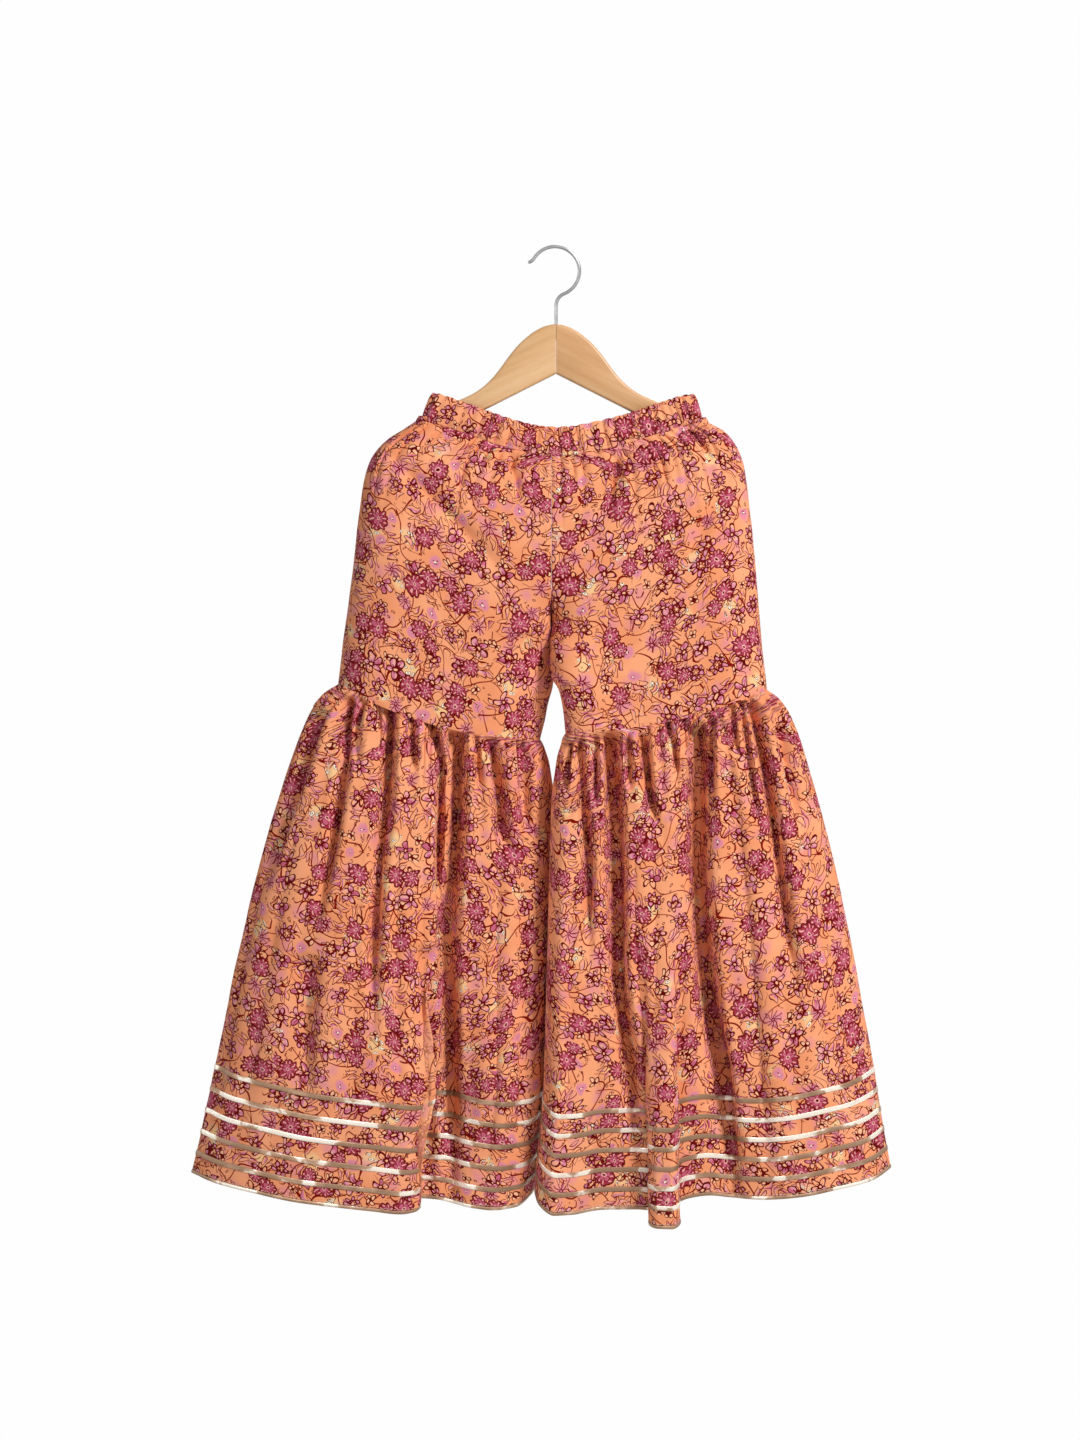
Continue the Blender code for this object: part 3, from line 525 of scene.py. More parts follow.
WAIST_GATHERS = {face: Gathers(seed, FACE_RUN, 8.6, 3.2, (30.0, 120.0))
                 for face, seed in ((FRONT, 11), (BACK, 23))}


def make_waistband(cotton):
    """Casing over its elastic: narrow upright gathers, a top fold and a stitched lower edge."""
    places, gathers = [], []
    for face in (FRONT, BACK):
        for index in range(BAND_COLUMNS):
            run = index / BAND_COLUMNS * FACE_RUN
            if face == BACK:
                run = FACE_RUN - run
            x, y = band_place(run)
            places.append((x, face * y, 0.0))
            gathers.append(WAIST_GATHERS[face].height(run, 0.0))
    rows = []
    for drop, out in CASING_SECTION:
        pinch = 0.55 + 0.45 * ease(min(drop, BAND_HEIGHT - drop) / 5.0) if out > CASING_CORE else 0.3
        moves = [out + 0.7 * gather * pinch + 0.25 * crumple(x, y, drop * 3, 9.0)
                 for (x, y, _), gather in zip(places, gathers)]
        row = []
        for (x, y, _), gather in zip(shift_row(places, moves, 1, True), gathers):
            edge_x, z = band_edge(x, drop)
            row.append((edge_x, y, z + 0.35 * gather * (1 - ease(drop / 6.0))))
        rows.append(row + row[:1])
    rows.append(rows[0])
    down = [0.0]
    for before, after in zip(CASING_SECTION, (*CASING_SECTION[1:], CASING_SECTION[0])):
        down.append(down[-1] + hypot(after[0] - before[0], after[1] - before[1]))
    across = [[value * BAND_TAKE_UP for value in lengths(rows[CASING_MIDDLE], BAND_COLUMNS // 2)]]
    along = [[distance] * len(rows[0]) for distance in down]
    bm = cloth_grid(rows, across * len(rows), along)
    bmesh.ops.recalc_face_normals(bm, faces=bm.faces)
    return finish_piece("waistband_casing", bm, cotton, ("waistband",)), rows


# Upper legs

def knee_height(side, x):
    """Height of the knee seam at x: it rises towards the outer side."""
    inner, outer = GATHERS[side][0][0], GATHERS[side][-1][0]
    share = min(max((x - inner) / (outer - inner), 0.0), 1.0)
    return KNEE_Z[side] + KNEE_RISE[side] * share ** 2


def lap(side, inward, z):
    """How far back the inner side of a leg lies, by the distance from that side."""
    near = inward / LAP_WIDTH
    return -side * LEG_LAP * ease((CROTCH_Z - z) / LAP_FALL) * exp(-near * near)


YOKE_OUTER, YOKE_INNER = pair(YOKE_LEVELS), pair(INNER_LEVELS)
YOKE_DEPTH, YOKE_ROUND = column(YOKE_LEVELS, 3), column(YOKE_LEVELS, 4)


def yoke_half(side, face, level):
    """Half a row of an upper leg, from the inner side to the outer side, and its moves outwards."""
    inner_z = mix(WAIST_Z, KNEE_Z[side], level)
    closed = ease((CROTCH_Z + CROTCH_CURVE - inner_z) / CROTCH_CURVE)
    centre_x = CENTRE_X + side * SEAM_GAP / 3
    inner_x = mix(centre_x, YOKE_INNER[side](min(inner_z, CROTCH_Z)), ease(closed * 4))
    outer_x = side * YOKE_OUTER[side](level)
    rounding, full = YOKE_ROUND(level), YOKE_DEPTH(level)
    points, moves = [], []
    for index in range(YOKE_COLUMNS + 1):
        place = index / YOKE_COLUMNS
        share = mix(place, (1 - cos(pi * place)) / 2, 0.3)
        x = mix(inner_x, outer_x, share)
        top_x = band_above(mix(CENTRE_X, side * YOKE_OUTER[side](0), share))
        knee_x = mix(GATHERS[side][0][0], GATHERS[side][-1][0], share)
        top_z = band_edge(top_x, BAND_HEIGHT + SEAM_GAP)[1]
        z = mix(top_z, knee_height(side, knee_x), level)
        inward = abs(x - inner_x)
        depth = full * flat_end(abs(outer_x - x), rounding)
        depth *= 1 - closed * (1 - flat_end(inward, rounding))
        points.append((x, face * depth + lap(side, inward, z), z))
        fall = top_z - z
        body = min(depth / BAND_DEPTH, 1.0)
        drift = 2.5 * noise.noise(Vector((top_x / 25, fall / 40, face))) * min(fall / 30, 1)
        move = WAIST_GATHERS[face].height(band_run(top_x) + drift, fall)
        move *= (0.4 + 0.75 * ease(fall / 7)) * body
        move += 1.1 * crumple(x, face * 20, z, 46.0) * body + 0.3 * crumple(x, face * 20, z, 15.0)
        move -= 0.3 * exp(-(fall / 2.0) ** 2)
        if face == FRONT:
            move -= crease(x, z) * body
        move *= 1 - closed * exp(-(inward / 7.0) ** 2)
        move -= 0.8 * exp(-(inward / 2.2) ** 2) * (1 - ease(closed * 5))
        moves.append(move)
    return points, moves


def yoke_row(side, level):
    """Row round one leg, from centre front round the outer side to centre back."""
    halves = zip(yoke_half(side, FRONT, level), yoke_half(side, BACK, level))
    return [front + back[-2::-1] for front, back in halves]


def make_yoke(side, side_name, cotton):
    """Upper leg: one piece with its seams at the centre and down the inner side."""
    rows, plain = [], []
    for index in range(YOKE_ROWS + 1):
        row, moves = yoke_row(side, (index / YOKE_ROWS) ** 1.12)
        plain.append(row)
        rows.append(shift_row(row, moves, side, False))
    top = []
    for x, y, _ in shift_row(plain[0], -YOKE_TUCK_IN, side, False):
        tucked_x, tucked_z = band_edge(band_above(x), BAND_HEIGHT - TUCK)
        top.append((tucked_x, y, tucked_z))
    rolled = [raise_row(shift_row(rows[-1], out, side, False), up) for out, up in EDGE_ROLL]
    rows = [top] + rows + rolled
    down = drops([plain[0]] + plain + [plain[-1]] * len(rolled))
    down[0] = [TUCK] * len(down[0])
    across = [lengths(row, YOKE_COLUMNS // 2) for row in rows]
    bm = cloth_grid(rows, across, down)
    nodes = (f"{side_name}_yoke_front", f"{side_name}_yoke_back")
    return finish_piece(f"{side_name}_upper_leg", bm, cotton, nodes, COTTON)


# Flares

def ring_curves(stations):
    """Return smooth closed curves through stations round a leg: place and three values."""
    before = [(place - FOLDS_ROUND, *values) for place, *values in stations[-3:]]
    after = [(place + FOLDS_ROUND, *values) for place, *values in stations[:3]]
    return [column(before + stations + after, value) for value in (1, 2, 3)]


BACK_PLACES = [(FOLDS_FRONT + index, index / FOLDS_BACK) for index in range(1, FOLDS_BACK)]


def hem_curves(side):
    """Curves for x, y and z of the hem, round the leg."""
    stations = [(place, x, FRONT * out, z) for place, x, out, z in HEMS[side]]
    outer, inner = stations[-1], stations[0]
    for place, share in BACK_PLACES:
        x = mix(outer[1], inner[1], share + 0.04 * sin(2 * pi * share))
        room = min(share, 1 - share) * abs(outer[1] - inner[1])
        wave = BACK_HEM_WAVE * (-1) ** place
        deep = BACK * (BACK_HEM_DEPTH * flat_end(room, 90.0) + wave)
        sag = mix(mix(outer[3], inner[3], share), BACK_HEM_Z[side], sin(pi * share) ** 0.6)
        stations.append((place, x, deep, sag))
    return ring_curves(stations)


def gather_curves(side):
    """Curves for x at the knee seam, depth and reach of the gathers, round the leg."""
    stations = [(place, *row) for place, row in enumerate(GATHERS[side])]
    outer, inner = stations[-1][1], stations[0][1]
    for place, share in BACK_PLACES:
        long_fold = place % 3 == 0
        stations.append((place, mix(outer, inner, share), *((7.5, 0.85) if long_fold else (5.0, 0.5))))
    return ring_curves(stations)


WIDENING, SWELL = column(FLARE_LEVELS, 1), column(FLARE_LEVELS, 2)


def soften(ring, reach):
    """Ring without its narrow pleats: in the front's middle each point is the mean of its neighbours."""
    count, soft = len(ring), []
    for index, point in enumerate(ring):
        side = min(index, FOLDS_FRONT * FLARE_FINE - index) / FLARE_FINE
        share = ease((side - 1.0) / 2.0)
        near = [ring[(index + step) % count] for step in range(-reach, reach + 1)]
        mean = [sum(values) / len(near) for values in zip(*near)]
        soft.append([mix(value, middle, share) for value, middle in zip(point, mean)])
    return soft


class Flare:
    """The gathered lower leg: a ring of folds from the knee seam to the hem."""

    def __init__(self, side):
        self.side = side
        self.hem = hem_curves(side)
        self.knee_x, depth, reach = gather_curves(side)
        self.inner_x, self.outer_x = GATHERS[side][0][0], GATHERS[side][-1][0]
        self.places = [index / FLARE_FINE for index in range(FOLDS_ROUND * FLARE_FINE)]
        self.knees = [self.knee_point(place) for place in self.places]
        self.tops = [self.border_point(place, BORDER) for place in self.places]
        self.softs = soften(self.tops, 2 * FLARE_FINE)
        self.depths = [depth(place) for place in self.places]
        self.reaches = [reach(place) for place in self.places]
        self.folds = fold_lines(side)
        self.small = Gathers(31 + side, FOLDS_ROUND, 0.52, 4.6, (0.08, 0.36))
        self.broad = Gathers(47 + side, FOLDS_ROUND, 1.4, 4.6, (1.6, 3.0))

    def knee_point(self, place):
        x = self.knee_x(place)
        face = FRONT if place <= FOLDS_FRONT else BACK
        inward, rounding = abs(x - self.inner_x), YOKE_ROUND(1)
        deep = YOKE_DEPTH(1) * flat_end(inward, rounding) * flat_end(abs(x - self.outer_x), rounding)
        z = knee_height(self.side, x)
        return x, face * deep + lap(self.side, inward, z), z

    def border_point(self, place, lift):
        """Point of the straight border, a height above the hem."""
        side, share = self.side, lift / BORDER
        x, y, z = (curve(place) for curve in self.hem)
        inward = abs(x - HEMS[side][0][1])
        y = y * mix(1.0, BORDER_DEPTH, share) + lap(side, inward, z)
        tuck = side * BORDER_TUCK[side] * ease(share * 1.8) * exp(-(inward / BORDER_TUCK_WIDTH) ** 2)
        return x * mix(1.0, BORDER_NARROW[side], share) + BORDER_SHIFT[side] * share - tuck, y, z + lift

    def plain_row(self, level, pleats=1.0):
        """Row without its gathers: 0 is the knee seam, 1 the top of the border and 2 the hem."""
        if level > 1:
            return [self.border_point(place, BORDER * (2 - level)) for place in self.places]
        row = []
        first = mix(self.inner_x, self.tops[0][0], WIDENING(level))
        pleated = pleats * ease((level - 0.5) / 0.5)
        for knee, soft, top in zip(self.knees, self.softs, self.tops):
            top = [mix(smoothed, value, pleated) for smoothed, value in zip(soft, top)]
            x = mix(knee[0], top[0], WIDENING(level))
            near = (x - first) / SWELL_WIDTH
            x -= self.side * INNER_SWELL[self.side] * SWELL(level) * exp(-near * near)
            row.append((x, mix(knee[1], top[1], level ** 0.7), mix(knee[2], top[2], level)))
        return row

    def row(self, level):
        """Row with its gathers, broad folds and creases."""
        plain = self.plain_row(level)
        moves = []
        for index, (x, y, z) in enumerate(plain):
            place = self.places[index]
            fall = max(self.knees[index][2] - z, 0.0)
            valley = ((1 + cos(2 * pi * place)) / 2) ** 1.3
            front = place < FOLDS_FRONT
            fade = (0.12 + 0.88 * ease(fall / 18.0)) * (1 - ease(level / self.reaches[index]))
            move = self.depths[index] * fade * (0.38 - valley) * (0.55 if front else 1.0)
            move += self.small.height(place, level) * (0.6 + 0.4 * ease(fall / 6.0))
            spread = ease((level - 0.12) / 0.5) * (1 - 0.75 * ease((level - 0.9) / 0.9))
            move += self.broad.height(place, 0.0) * spread
            move += 0.8 * crumple(x, y, z, 38.0) * ease(fall / 20.0)
            move += 0.25 * crumple(x, y, z, 12.0) * ease(fall / 20.0)
            move -= 0.5 * exp(-(fall / 2.0) ** 2)
            if front:
                move -= fold_depth(self.folds, x, z)
            moves.append(move)
        return shift_row(plain, moves, self.side, True)


def make_flare(flare, side_name, cotton):
    """Lower leg gathered on to the upper leg, open at the hem."""
    levels = [(index / FLARE_ROWS) ** 1.35 for index in range(FLARE_ROWS)]
    levels += [1 + index / BORDER_ROWS for index in range(BORDER_ROWS + 1)]
    rows = [flare.row(level) for level in levels]
    plain = [flare.plain_row(min(level, 1.0), 0.0) for level in levels]
    rows.insert(0, raise_row(shift_row(plain[0], -FLARE_TUCK_IN, flare.side, True), TUCK))
    plain.insert(0, raise_row(plain[0], TUCK))
    rows = [row + row[:1] for row in rows]
    down = drops([row + row[:1] for row in plain])
    lifts = [BORDER] + [BORDER * min(2 - level, 1.0) for level in levels]
    down = [[value - foot + lift for value, foot in zip(row, down[-1])]
            for row, lift in zip(down, lifts)]
    across = [lengths(row, FLARE_MIDDLE) for row in rows]
    bm = cloth_grid(rows, across, down)
    nodes = (f"{side_name}_flare_front", f"{side_name}_flare_back")
    return finish_piece(f"{side_name}_flare", bm, cotton, nodes, COTTON)


def make_ribbon(name, flare, section, finish, node):
    """Metallic ribbon round a flare: its section is heights above the hem and distances out."""
    rows = []
    for lift, out in section:
        row = shift_row(flare.row(2 - max(lift, 0.0) / BORDER), out, flare.side, True)
        row = raise_row(row, min(lift, 0.0))
        rows.append(row + row[:1])
    across = [lengths(rows[len(rows) // 2], FLARE_MIDDLE)] * len(rows)
    along = [[lift] * len(rows[0]) for lift, _ in section]
    bm = cloth_grid(rows, across, along)
    return finish_piece(name, bm, finish, (node,), RIBBON_THICKNESS)


# Stitches

def stitch_line(name, row, stitch, finish, turn):
    """A line of short thread stitches along a row of points, joined in one mesh."""
    step, length, width, lift = stitch
    bm = bmesh.new()
    run, due = 0.0, step / 2
    for first, second in zip(row, row[1:]):
        first, second = Vector(first), Vector(second)
        gap = (second - first).length
        if gap == 0:
            continue
        way = (second - first) / gap
        out = Vector((way.y, -way.x, 0)).normalized() * turn
        while due <= run + gap:
            spot = first + way * (due - run) + out * lift
            turned = Matrix((way, way.cross(out), out)).transposed().to_4x4()
            size = Matrix.Diagonal((length / 2, width / 2, width / 2, 1))
            bmesh.ops.create_uvsphere(bm, u_segments=6, v_segments=4, radius=1,
                                      matrix=Matrix.Translation(spot) @ turned @ size)
            due += step
        run += gap
    bmesh.ops.recalc_face_normals(bm, faces=bm.faces)
    return finish_piece(name, bm, finish)


# Hanger

def turned_from(centre, radius, angle):
    """Point round a centre in the plane of the hanger, by an angle in degrees."""
    return centre[0] + radius * cos(radians(angle)), centre[1] + radius * sin(radians(angle))


def arc(centre, radius, start, end, count):
    return [turned_from(centre, radius, mix(start, end, index / count)) for index in range(count + 1)]


def make_hook(steel):
    """Bent steel wire: a turned-out tip, a round bow, a neck and a straight stem."""
    bow = (BOW_X, -(BOW_RADIUS - WIRE / 2))
    tip = turned_from(bow, BOW_RADIUS + TIP_RADIUS, TIP_ANGLE)
    neck_reach = BOW_RADIUS + NECK_RADIUS
    neck_angle = -degrees(acos((NECK_RADIUS - bow[0]) / neck_reach))
    neck = turned_from(bow, neck_reach, neck_angle)
    route = arc(tip, TIP_RADIUS, TIP_ANGLE + 180 - TIP_TURN, TIP_ANGLE + 180, 12)
    route += arc(bow, BOW_RADIUS, TIP_ANGLE, neck_angle, 72)[1:]
    route += arc(neck, NECK_RADIUS, neck_angle + 180, 180, 20)[1:]
    route += [(0.0, ARM_TOP[0][1] + 4), (0.0, ARM_TOP[0][1] - STEM_DEPTH)]
    bm = bmesh.new()
    across, rings = Vector((0, 1, 0)), []
    for index, (x, z) in enumerate(route):
        before, after = route[max(index - 1, 0)], route[min(index + 1, len(route) - 1)]
        way = Vector((after[0] - before[0], 0, after[1] - before[1])).normalized()
        wear_and_painted_glints = WIRE / 2 * (1 - 0.45 * max(0.0, 1 - index / 3) ** 2)
        place = Matrix((across, way.cross(across), way)).transposed().to_4x4()
        place.translation = (x, 0, z)
        rings.append(bmesh.ops.create_circle(bm, segments=20, radius=wear_and_painted_glints, matrix=place)["verts"])
    for first, second in zip(rings, rings[1:]):
        edges = [edge for ring in (first, second) for edge in {e for v in ring for e in v.link_edges}
                 if all(vert in ring for vert in edge.verts)]
        bmesh.ops.bridge_loops(bm, edges=edges)
    ends = [edge for edge in bm.edges if edge.is_boundary]
    bmesh.ops.holes_fill(bm, edges=ends)
    bmesh.ops.recalc_face_normals(bm, faces=bm.faces)
    return finish_piece("hook_wire", bm, steel, ("hanger_hook",), sharp=50)


def make_arm(side, side_name, beech):
    """One shaped wooden arm with rounded arrises, cut square at the mitre under the hook."""
    tip = ARM_TIP[side]
    end = [(tip - back, z) for back, z in ARM_END]
    upper = column(ARM_TOP + ((mix(ARM_TOP[-1][0], tip, 0.5), ARM_TOP_LAST_Z), end[0]), 1)
    places = [index / ARM_STEPS * end[0][0] for index in range(ARM_STEPS + 1)]
    top = [(place, upper(place)) for place in places]
    (bend, bend_z), notch = ARM_NOTCH
    under = [(mix(bend, end[-1][0], 0.4), bend_z), notch]
    foot = [(x, ARM_FOOT_Z - ARM_FOOT_SLOPE * x) for x in (ARM_FOOT_X, ARM_START)]
    outline = [(ARM_START, ARM_TOP[1][1])] + top + end[1:] + under + foot
    bm = bmesh.new()
    face = bm.faces.new([bm.verts.new((side * x, -WOOD / 2, z)) for x, z in outline])
    pushed = bmesh.ops.extrude_face_region(bm, geom=[face])
    moved = [item for item in pushed["geom"] if isinstance(item, bmesh.types.BMVert)]
    bmesh.ops.translate(bm, vec=(0, WOOD, 0), verts=moved)
    arrises = [edge for edge in bm.edges if abs(edge.verts[0].co.y - edge.verts[1].co.y) < 0.1]
    rounded = {"profile": 0.5, "affect": "EDGES", "clamp_overlap": True, "material": -1}
    bmesh.ops.bevel(bm, geom=arrises, offset=WOOD_EDGE, segments=4, **rounded)
    everything = bm.verts[:] + bm.edges[:] + bm.faces[:]
    cut = bmesh.ops.bisect_plane(bm, geom=everything, plane_co=(side * MITRE_GAP, 0, 0),
                                 plane_no=(-side, 0, 0), clear_outer=True)
    rim = [item for item in cut["geom_cut"] if isinstance(item, bmesh.types.BMEdge)]
    filled = bmesh.ops.edgeloop_fill(bm, edges=rim)["faces"]
    mitre = {edge for piece in filled for edge in piece.edges}
    bmesh.ops.bevel(bm, geom=list(mitre), offset=MITRE_EDGE, segments=2, **rounded)
    bmesh.ops.recalc_face_normals(bm, faces=bm.faces)
    return finish_piece(f"{side_name}_arm", bm, beech, (f"hanger_{side_name}_arm",), sharp=40)


# Materials

def colour(value):
    """Linear colour of an sRGB hex number."""
    parts = [(value >> shift & 255) / 255 for shift in (16, 8, 0)]
    return (*[part / 12.92 if part <= 0.04045 else ((part + 0.055) / 1.055) ** 2.4 for part in parts], 1)


def add(tree, kind, *values, stops=(), named=(), **settings):
    """Add a node, as "Math ADD", with its settings and ramp stops, and link or set its inputs."""
    kind, _, operation = kind.partition(" ")
    made = tree.nodes.new(kind if kind.startswith("NodeGroup") else "ShaderNode" + kind)
    if operation:
        made.operation = operation
    for name, value in settings.items():
        setattr(made, name, value)
    wanted = list(zip([socket for socket in made.inputs if socket.enabled], values))
    wanted += [(made.inputs[name], value) for name, value in dict(named).items()]
    for socket, value in wanted:
        if isinstance(value, bpy.types.Node):
            value = next(out for out in value.outputs if out.enabled)
        if isinstance(value, bpy.types.NodeSocket):
            tree.links.new(value, socket)
        else:
            socket.default_value = value
    for index, (place, shade) in enumerate(stops):
        if index > 1:
            made.color_ramp.elements.new(place)
        made.color_ramp.elements[index].position = place
        made.color_ramp.elements[index].color = colour(shade)
    return made


SOCKETS = {"Place": "NodeSocketVector", "Seed": "NodeSocketVector", "Local": "NodeSocketVector",
           "Colour": "NodeSocketColor"}


def new_group(name, inputs, outputs):
    """Start a node group; return its tree and the sockets of its inputs."""
    tree = bpy.data.node_groups.new(name, "ShaderNodeTree")
    for direction, sockets in (("INPUT", inputs), ("OUTPUT", outputs)):
        for label in sockets.split(", "):
            kind = SOCKETS.get(label, "NodeSocketFloat")
            tree.interface.new_socket(label, in_out=direction, socket_type=kind)
    return tree, add(tree, "NodeGroupInput").outputs


def new_material(name):
    """Start a material; return it and the function that adds nodes to it."""
    made = bpy.data.materials.new(name)
    made.use_nodes = True
    made.node_tree.nodes.clear()
    return made, partial(add, made.node_tree)


def motif_cells():
    """Group: an uneven grid with one turned motif in each cell, measured in millimetres."""
    tree, (place, spacing, looseness, seed, _) = new_group(
        "motif cells", "Place, Spacing, Looseness, Seed", "Local, Pick, Vary")
    put = partial(add, tree)
    scaled = put("VectorMath SCALE", place, put("Math DIVIDE", 1.0, spacing))
    moved = put("VectorMath ADD", scaled, seed)
    cells = put("TexVoronoi", voronoi_dimensions="2D",
                named={"Vector": moved, "Scale": 1.0, "Detail": 0.0, "Randomness": looseness})
    apart = put("VectorMath SUBTRACT", moved, cells.outputs["Position"])
    drawn = put("SeparateColor", cells.outputs["Color"])
    turned = put("VectorRotate", put("VectorMath SCALE", apart, spacing), (0, 0, 0),
                 put("Math MULTIPLY", drawn.outputs[0], 2 * pi), rotation_type="Z_AXIS")
    put("NodeGroupOutput", turned, *drawn.outputs[1:3])
    return tree


def petal_ring():
    """Group: distance from the middle of the nearest petal of a ring, as a share; 1 is its outline."""
    tree, (radius, angle, ring, count, size, stretch, line, _) = new_group(
        "petal ring", "Radius, Angle, Ring, Count, Size, Stretch, Line", "Share")
    put = partial(add, tree)
    turns = put("Math MULTIPLY", put("Math MULTIPLY", angle, count), 1 / (2 * pi))
    part = put("Math SUBTRACT", put("Math FRACT", turns), 0.5)
    width = put("Math DIVIDE", put("Math MULTIPLY", radius, 2 * pi), count)
    side = put("Math MULTIPLY", part, width)
    out = put("Math MULTIPLY", put("Math SUBTRACT", radius, ring), stretch)
    share = put("Math DIVIDE", put("VectorMath LENGTH", put("CombineXYZ", side, out)), size)
    gap = put("Math SUBTRACT", put("Math MULTIPLY", width, 0.5), put("Math ABSOLUTE", side))
    seam = put("Math SUBTRACT", 1.0, put("Math DIVIDE", gap, line))
    put("NodeGroupOutput", put("Math MAXIMUM", share, seam))
    return tree


# Printing inks
# The near-white PAINTED_HIGHLIGHT ink is a painted highlight: it stands in for the shine of the gold foil
# and of the discs' centres
GROUND, GROUND_DEEP, GOLD, PAINTED_HIGHLIGHT, BUD = 0xF9A87C, 0xF1996C, 0xF8CA92, 0xFFF0DA, 0xFABA92
VINE, OUTLINE = 0x820E00, 0x600000
PLUM_DEEP, PLUM, MAUVE, LILAC, LILAC_PALE = 0x78080E, 0xA03242, 0xC6607A, 0xDE889E, 0xEEAAA4


class Print:
    """The cotton's print in millimetres: ground, gold, vines, leaves and flowers, scattered afresh."""

    def __init__(self, put, place):
        self.put, self.flat = put, place
        self.cells, self.ring = motif_cells(), petal_ring()
        wobble = put("TexNoise", place, 0.12, 0.0, noise_dimensions="2D")
        off = put("VectorMath SUBTRACT", wobble.outputs["Color"], (0.5, 0.5, 0.5))    # uneven hand
        self.place = put("VectorMath MULTIPLY_ADD", off, (4.6, 4.6, 0), place)
        cloud = put("TexNoise", place, 0.02, 2.0, noise_dimensions="2D")
        self.ground = put("ValToRGB", cloud, stops=((0.35, GROUND_DEEP), (0.65, GROUND)))
        washed = put("TexNoise", place, 0.11, 1.0, noise_dimensions="2D")
        self.wash = put("ValToRGB", washed, stops=(
            (0.38, GROUND), (0.46, LILAC_PALE), (0.54, LILAC), (0.66, MAUVE)))
        self.drawn = self.ground

    def paint(self, shade, *masks):
        """Lay one ink over the drawing where every mask says."""
        mask = reduce(partial(self.put, "Math MULTIPLY"), masks)
        shade = shade if isinstance(shade, bpy.types.Node) else colour(shade)
        self.drawn = self.put("Mix", mask, self.drawn, shade, data_type="RGBA")

    def between(self, value, low, high):
        return self.put("Math COMPARE", value, (low + high) / 2, (high - low) / 2)

    def scatter(self, spacing, looseness, seed, shift=(0, 0, 0), squash=(1, 1, 1)):
        """Places for motifs on an uneven grid: radius, angle and axes there, and each cell's draw."""
        put = self.put
        cell = put("Group", self.place, spacing, looseness, seed, node_tree=self.cells)
        moved = put("VectorMath SUBTRACT", cell.outputs["Local"], shift)
        local = put("VectorMath MULTIPLY", moved, squash)
        grown = put("Math MULTIPLY_ADD", cell.outputs["Vary"], -0.28, 1.16)
        radius = put("Math MULTIPLY", put("VectorMath LENGTH", local), grown)
        x, y, _ = axes = put("SeparateXYZ", local).outputs[:]
        return radius, put("Math ARCTAN2", y, x), axes, cell.outputs["Pick"]

    def some(self, grid, low, high):
        """A motif for those cells of a grid whose draw lies between two values."""
        radius, angle, axes, pick = grid
        return radius, angle, self.between(pick, low, high), axes

    def disc(self, motif, size, shade):
        radius, _, shown, _ = motif
        self.paint(shade, self.put("Math LESS_THAN", radius, size), shown)

    def blot(self, motif, start, end, strength, shade):
        """A soft-edged round of ink."""
        radius, _, shown, _ = motif
        self.paint(shade, self.put("MapRange", radius, start, end, strength, 0.0), shown)

    def petals(self, motif, ring, count, size, stretch, fill, edge=OUTLINE, line=1.0):
        """A ring of petals, filled and then outlined."""
        put = self.put
        radius, angle, shown, _ = motif
        share = put("Group", radius, angle, ring, count, size, stretch, 0.9, node_tree=self.ring)
        self.paint(fill, put("Math LESS_THAN", share, 0.999), shown)
        self.paint(edge, self.between(share, 0.999 - line / size, 0.999), shown)

    def rays(self, motif, count, width, inner, outer, shade):
        """Lines of one width down the middle of each petal."""
        put = self.put
        radius, angle, shown, _ = motif
        wave = put("Math ABSOLUTE", put("Math COSINE", put("Math MULTIPLY", angle, count / 2)))
        line = put("Math LESS_THAN", put("Math MULTIPLY", wave, radius), width * count / 2)
        self.paint(shade, line, self.between(radius, inner, outer), shown)

    def stems(self, motif, count, inner, outer):
        """Curling stems out of a flower."""
        put = self.put
        radius, angle, shown, _ = motif
        bend = put("Math SINE", put("Math DIVIDE", radius, 8.0))
        turn = put("Math MULTIPLY", put("Math ADD", angle, bend), count / 2)
        wave = put("Math ABSOLUTE", put("Math SINE", turn))
        away = put("Math MULTIPLY", put("Math MULTIPLY", wave, radius), 1.7 / count)
        self.paint(VINE, put("Math LESS_THAN", away, 0.45), self.between(radius, inner, outer), shown)

    def leaves(self, motif, length, width, bend):
        """Two pointed, outlined leaves on a bent stem, one half of each leaf filled."""
        put = self.put
        radius, _, shown, (x, y, _) = motif
        square = put("Math MULTIPLY", x, x)
        arch = put("Math MULTIPLY_ADD", square, bend, y)
        stem = put("Math COMPARE", arch, bend * length ** 2 / 2, 0.42)
        self.paint(VINE, stem, put("Math LESS_THAN", radius, length * 1.7), shown)
        spine = put("Math MULTIPLY_ADD", square, bend, width * 1.4)
        away = put("Math SUBTRACT", put("Math ABSOLUTE", y), spine)
        half = put("Math MULTIPLY_ADD", square, -width / length ** 2, width)
        within = put("Math SUBTRACT", half, put("Math ABSOLUTE", away))
        self.paint(OUTLINE, put("Math GREATER_THAN", within, 0.0), shown)
        inner = put("Math GREATER_THAN", within, 0.65)
        self.paint(self.ground, inner, shown)
        self.paint(self.wash, inner, shown, put("Math LESS_THAN", away, 0.1))

    def curls(self, motif, size, width, sweep):
        """Thin curls that fade towards both of their ends."""
        put = self.put
        radius, angle, shown, _ = motif
        away = put("Math ABSOLUTE", put("Math SUBTRACT", radius, size))
        turn = put("Math DIVIDE", angle, sweep)
        thin = put("Math MULTIPLY_ADD", put("Math MULTIPLY", turn, turn), -width, width)
        self.paint(VINE, put("Math LESS_THAN", away, thin), shown)

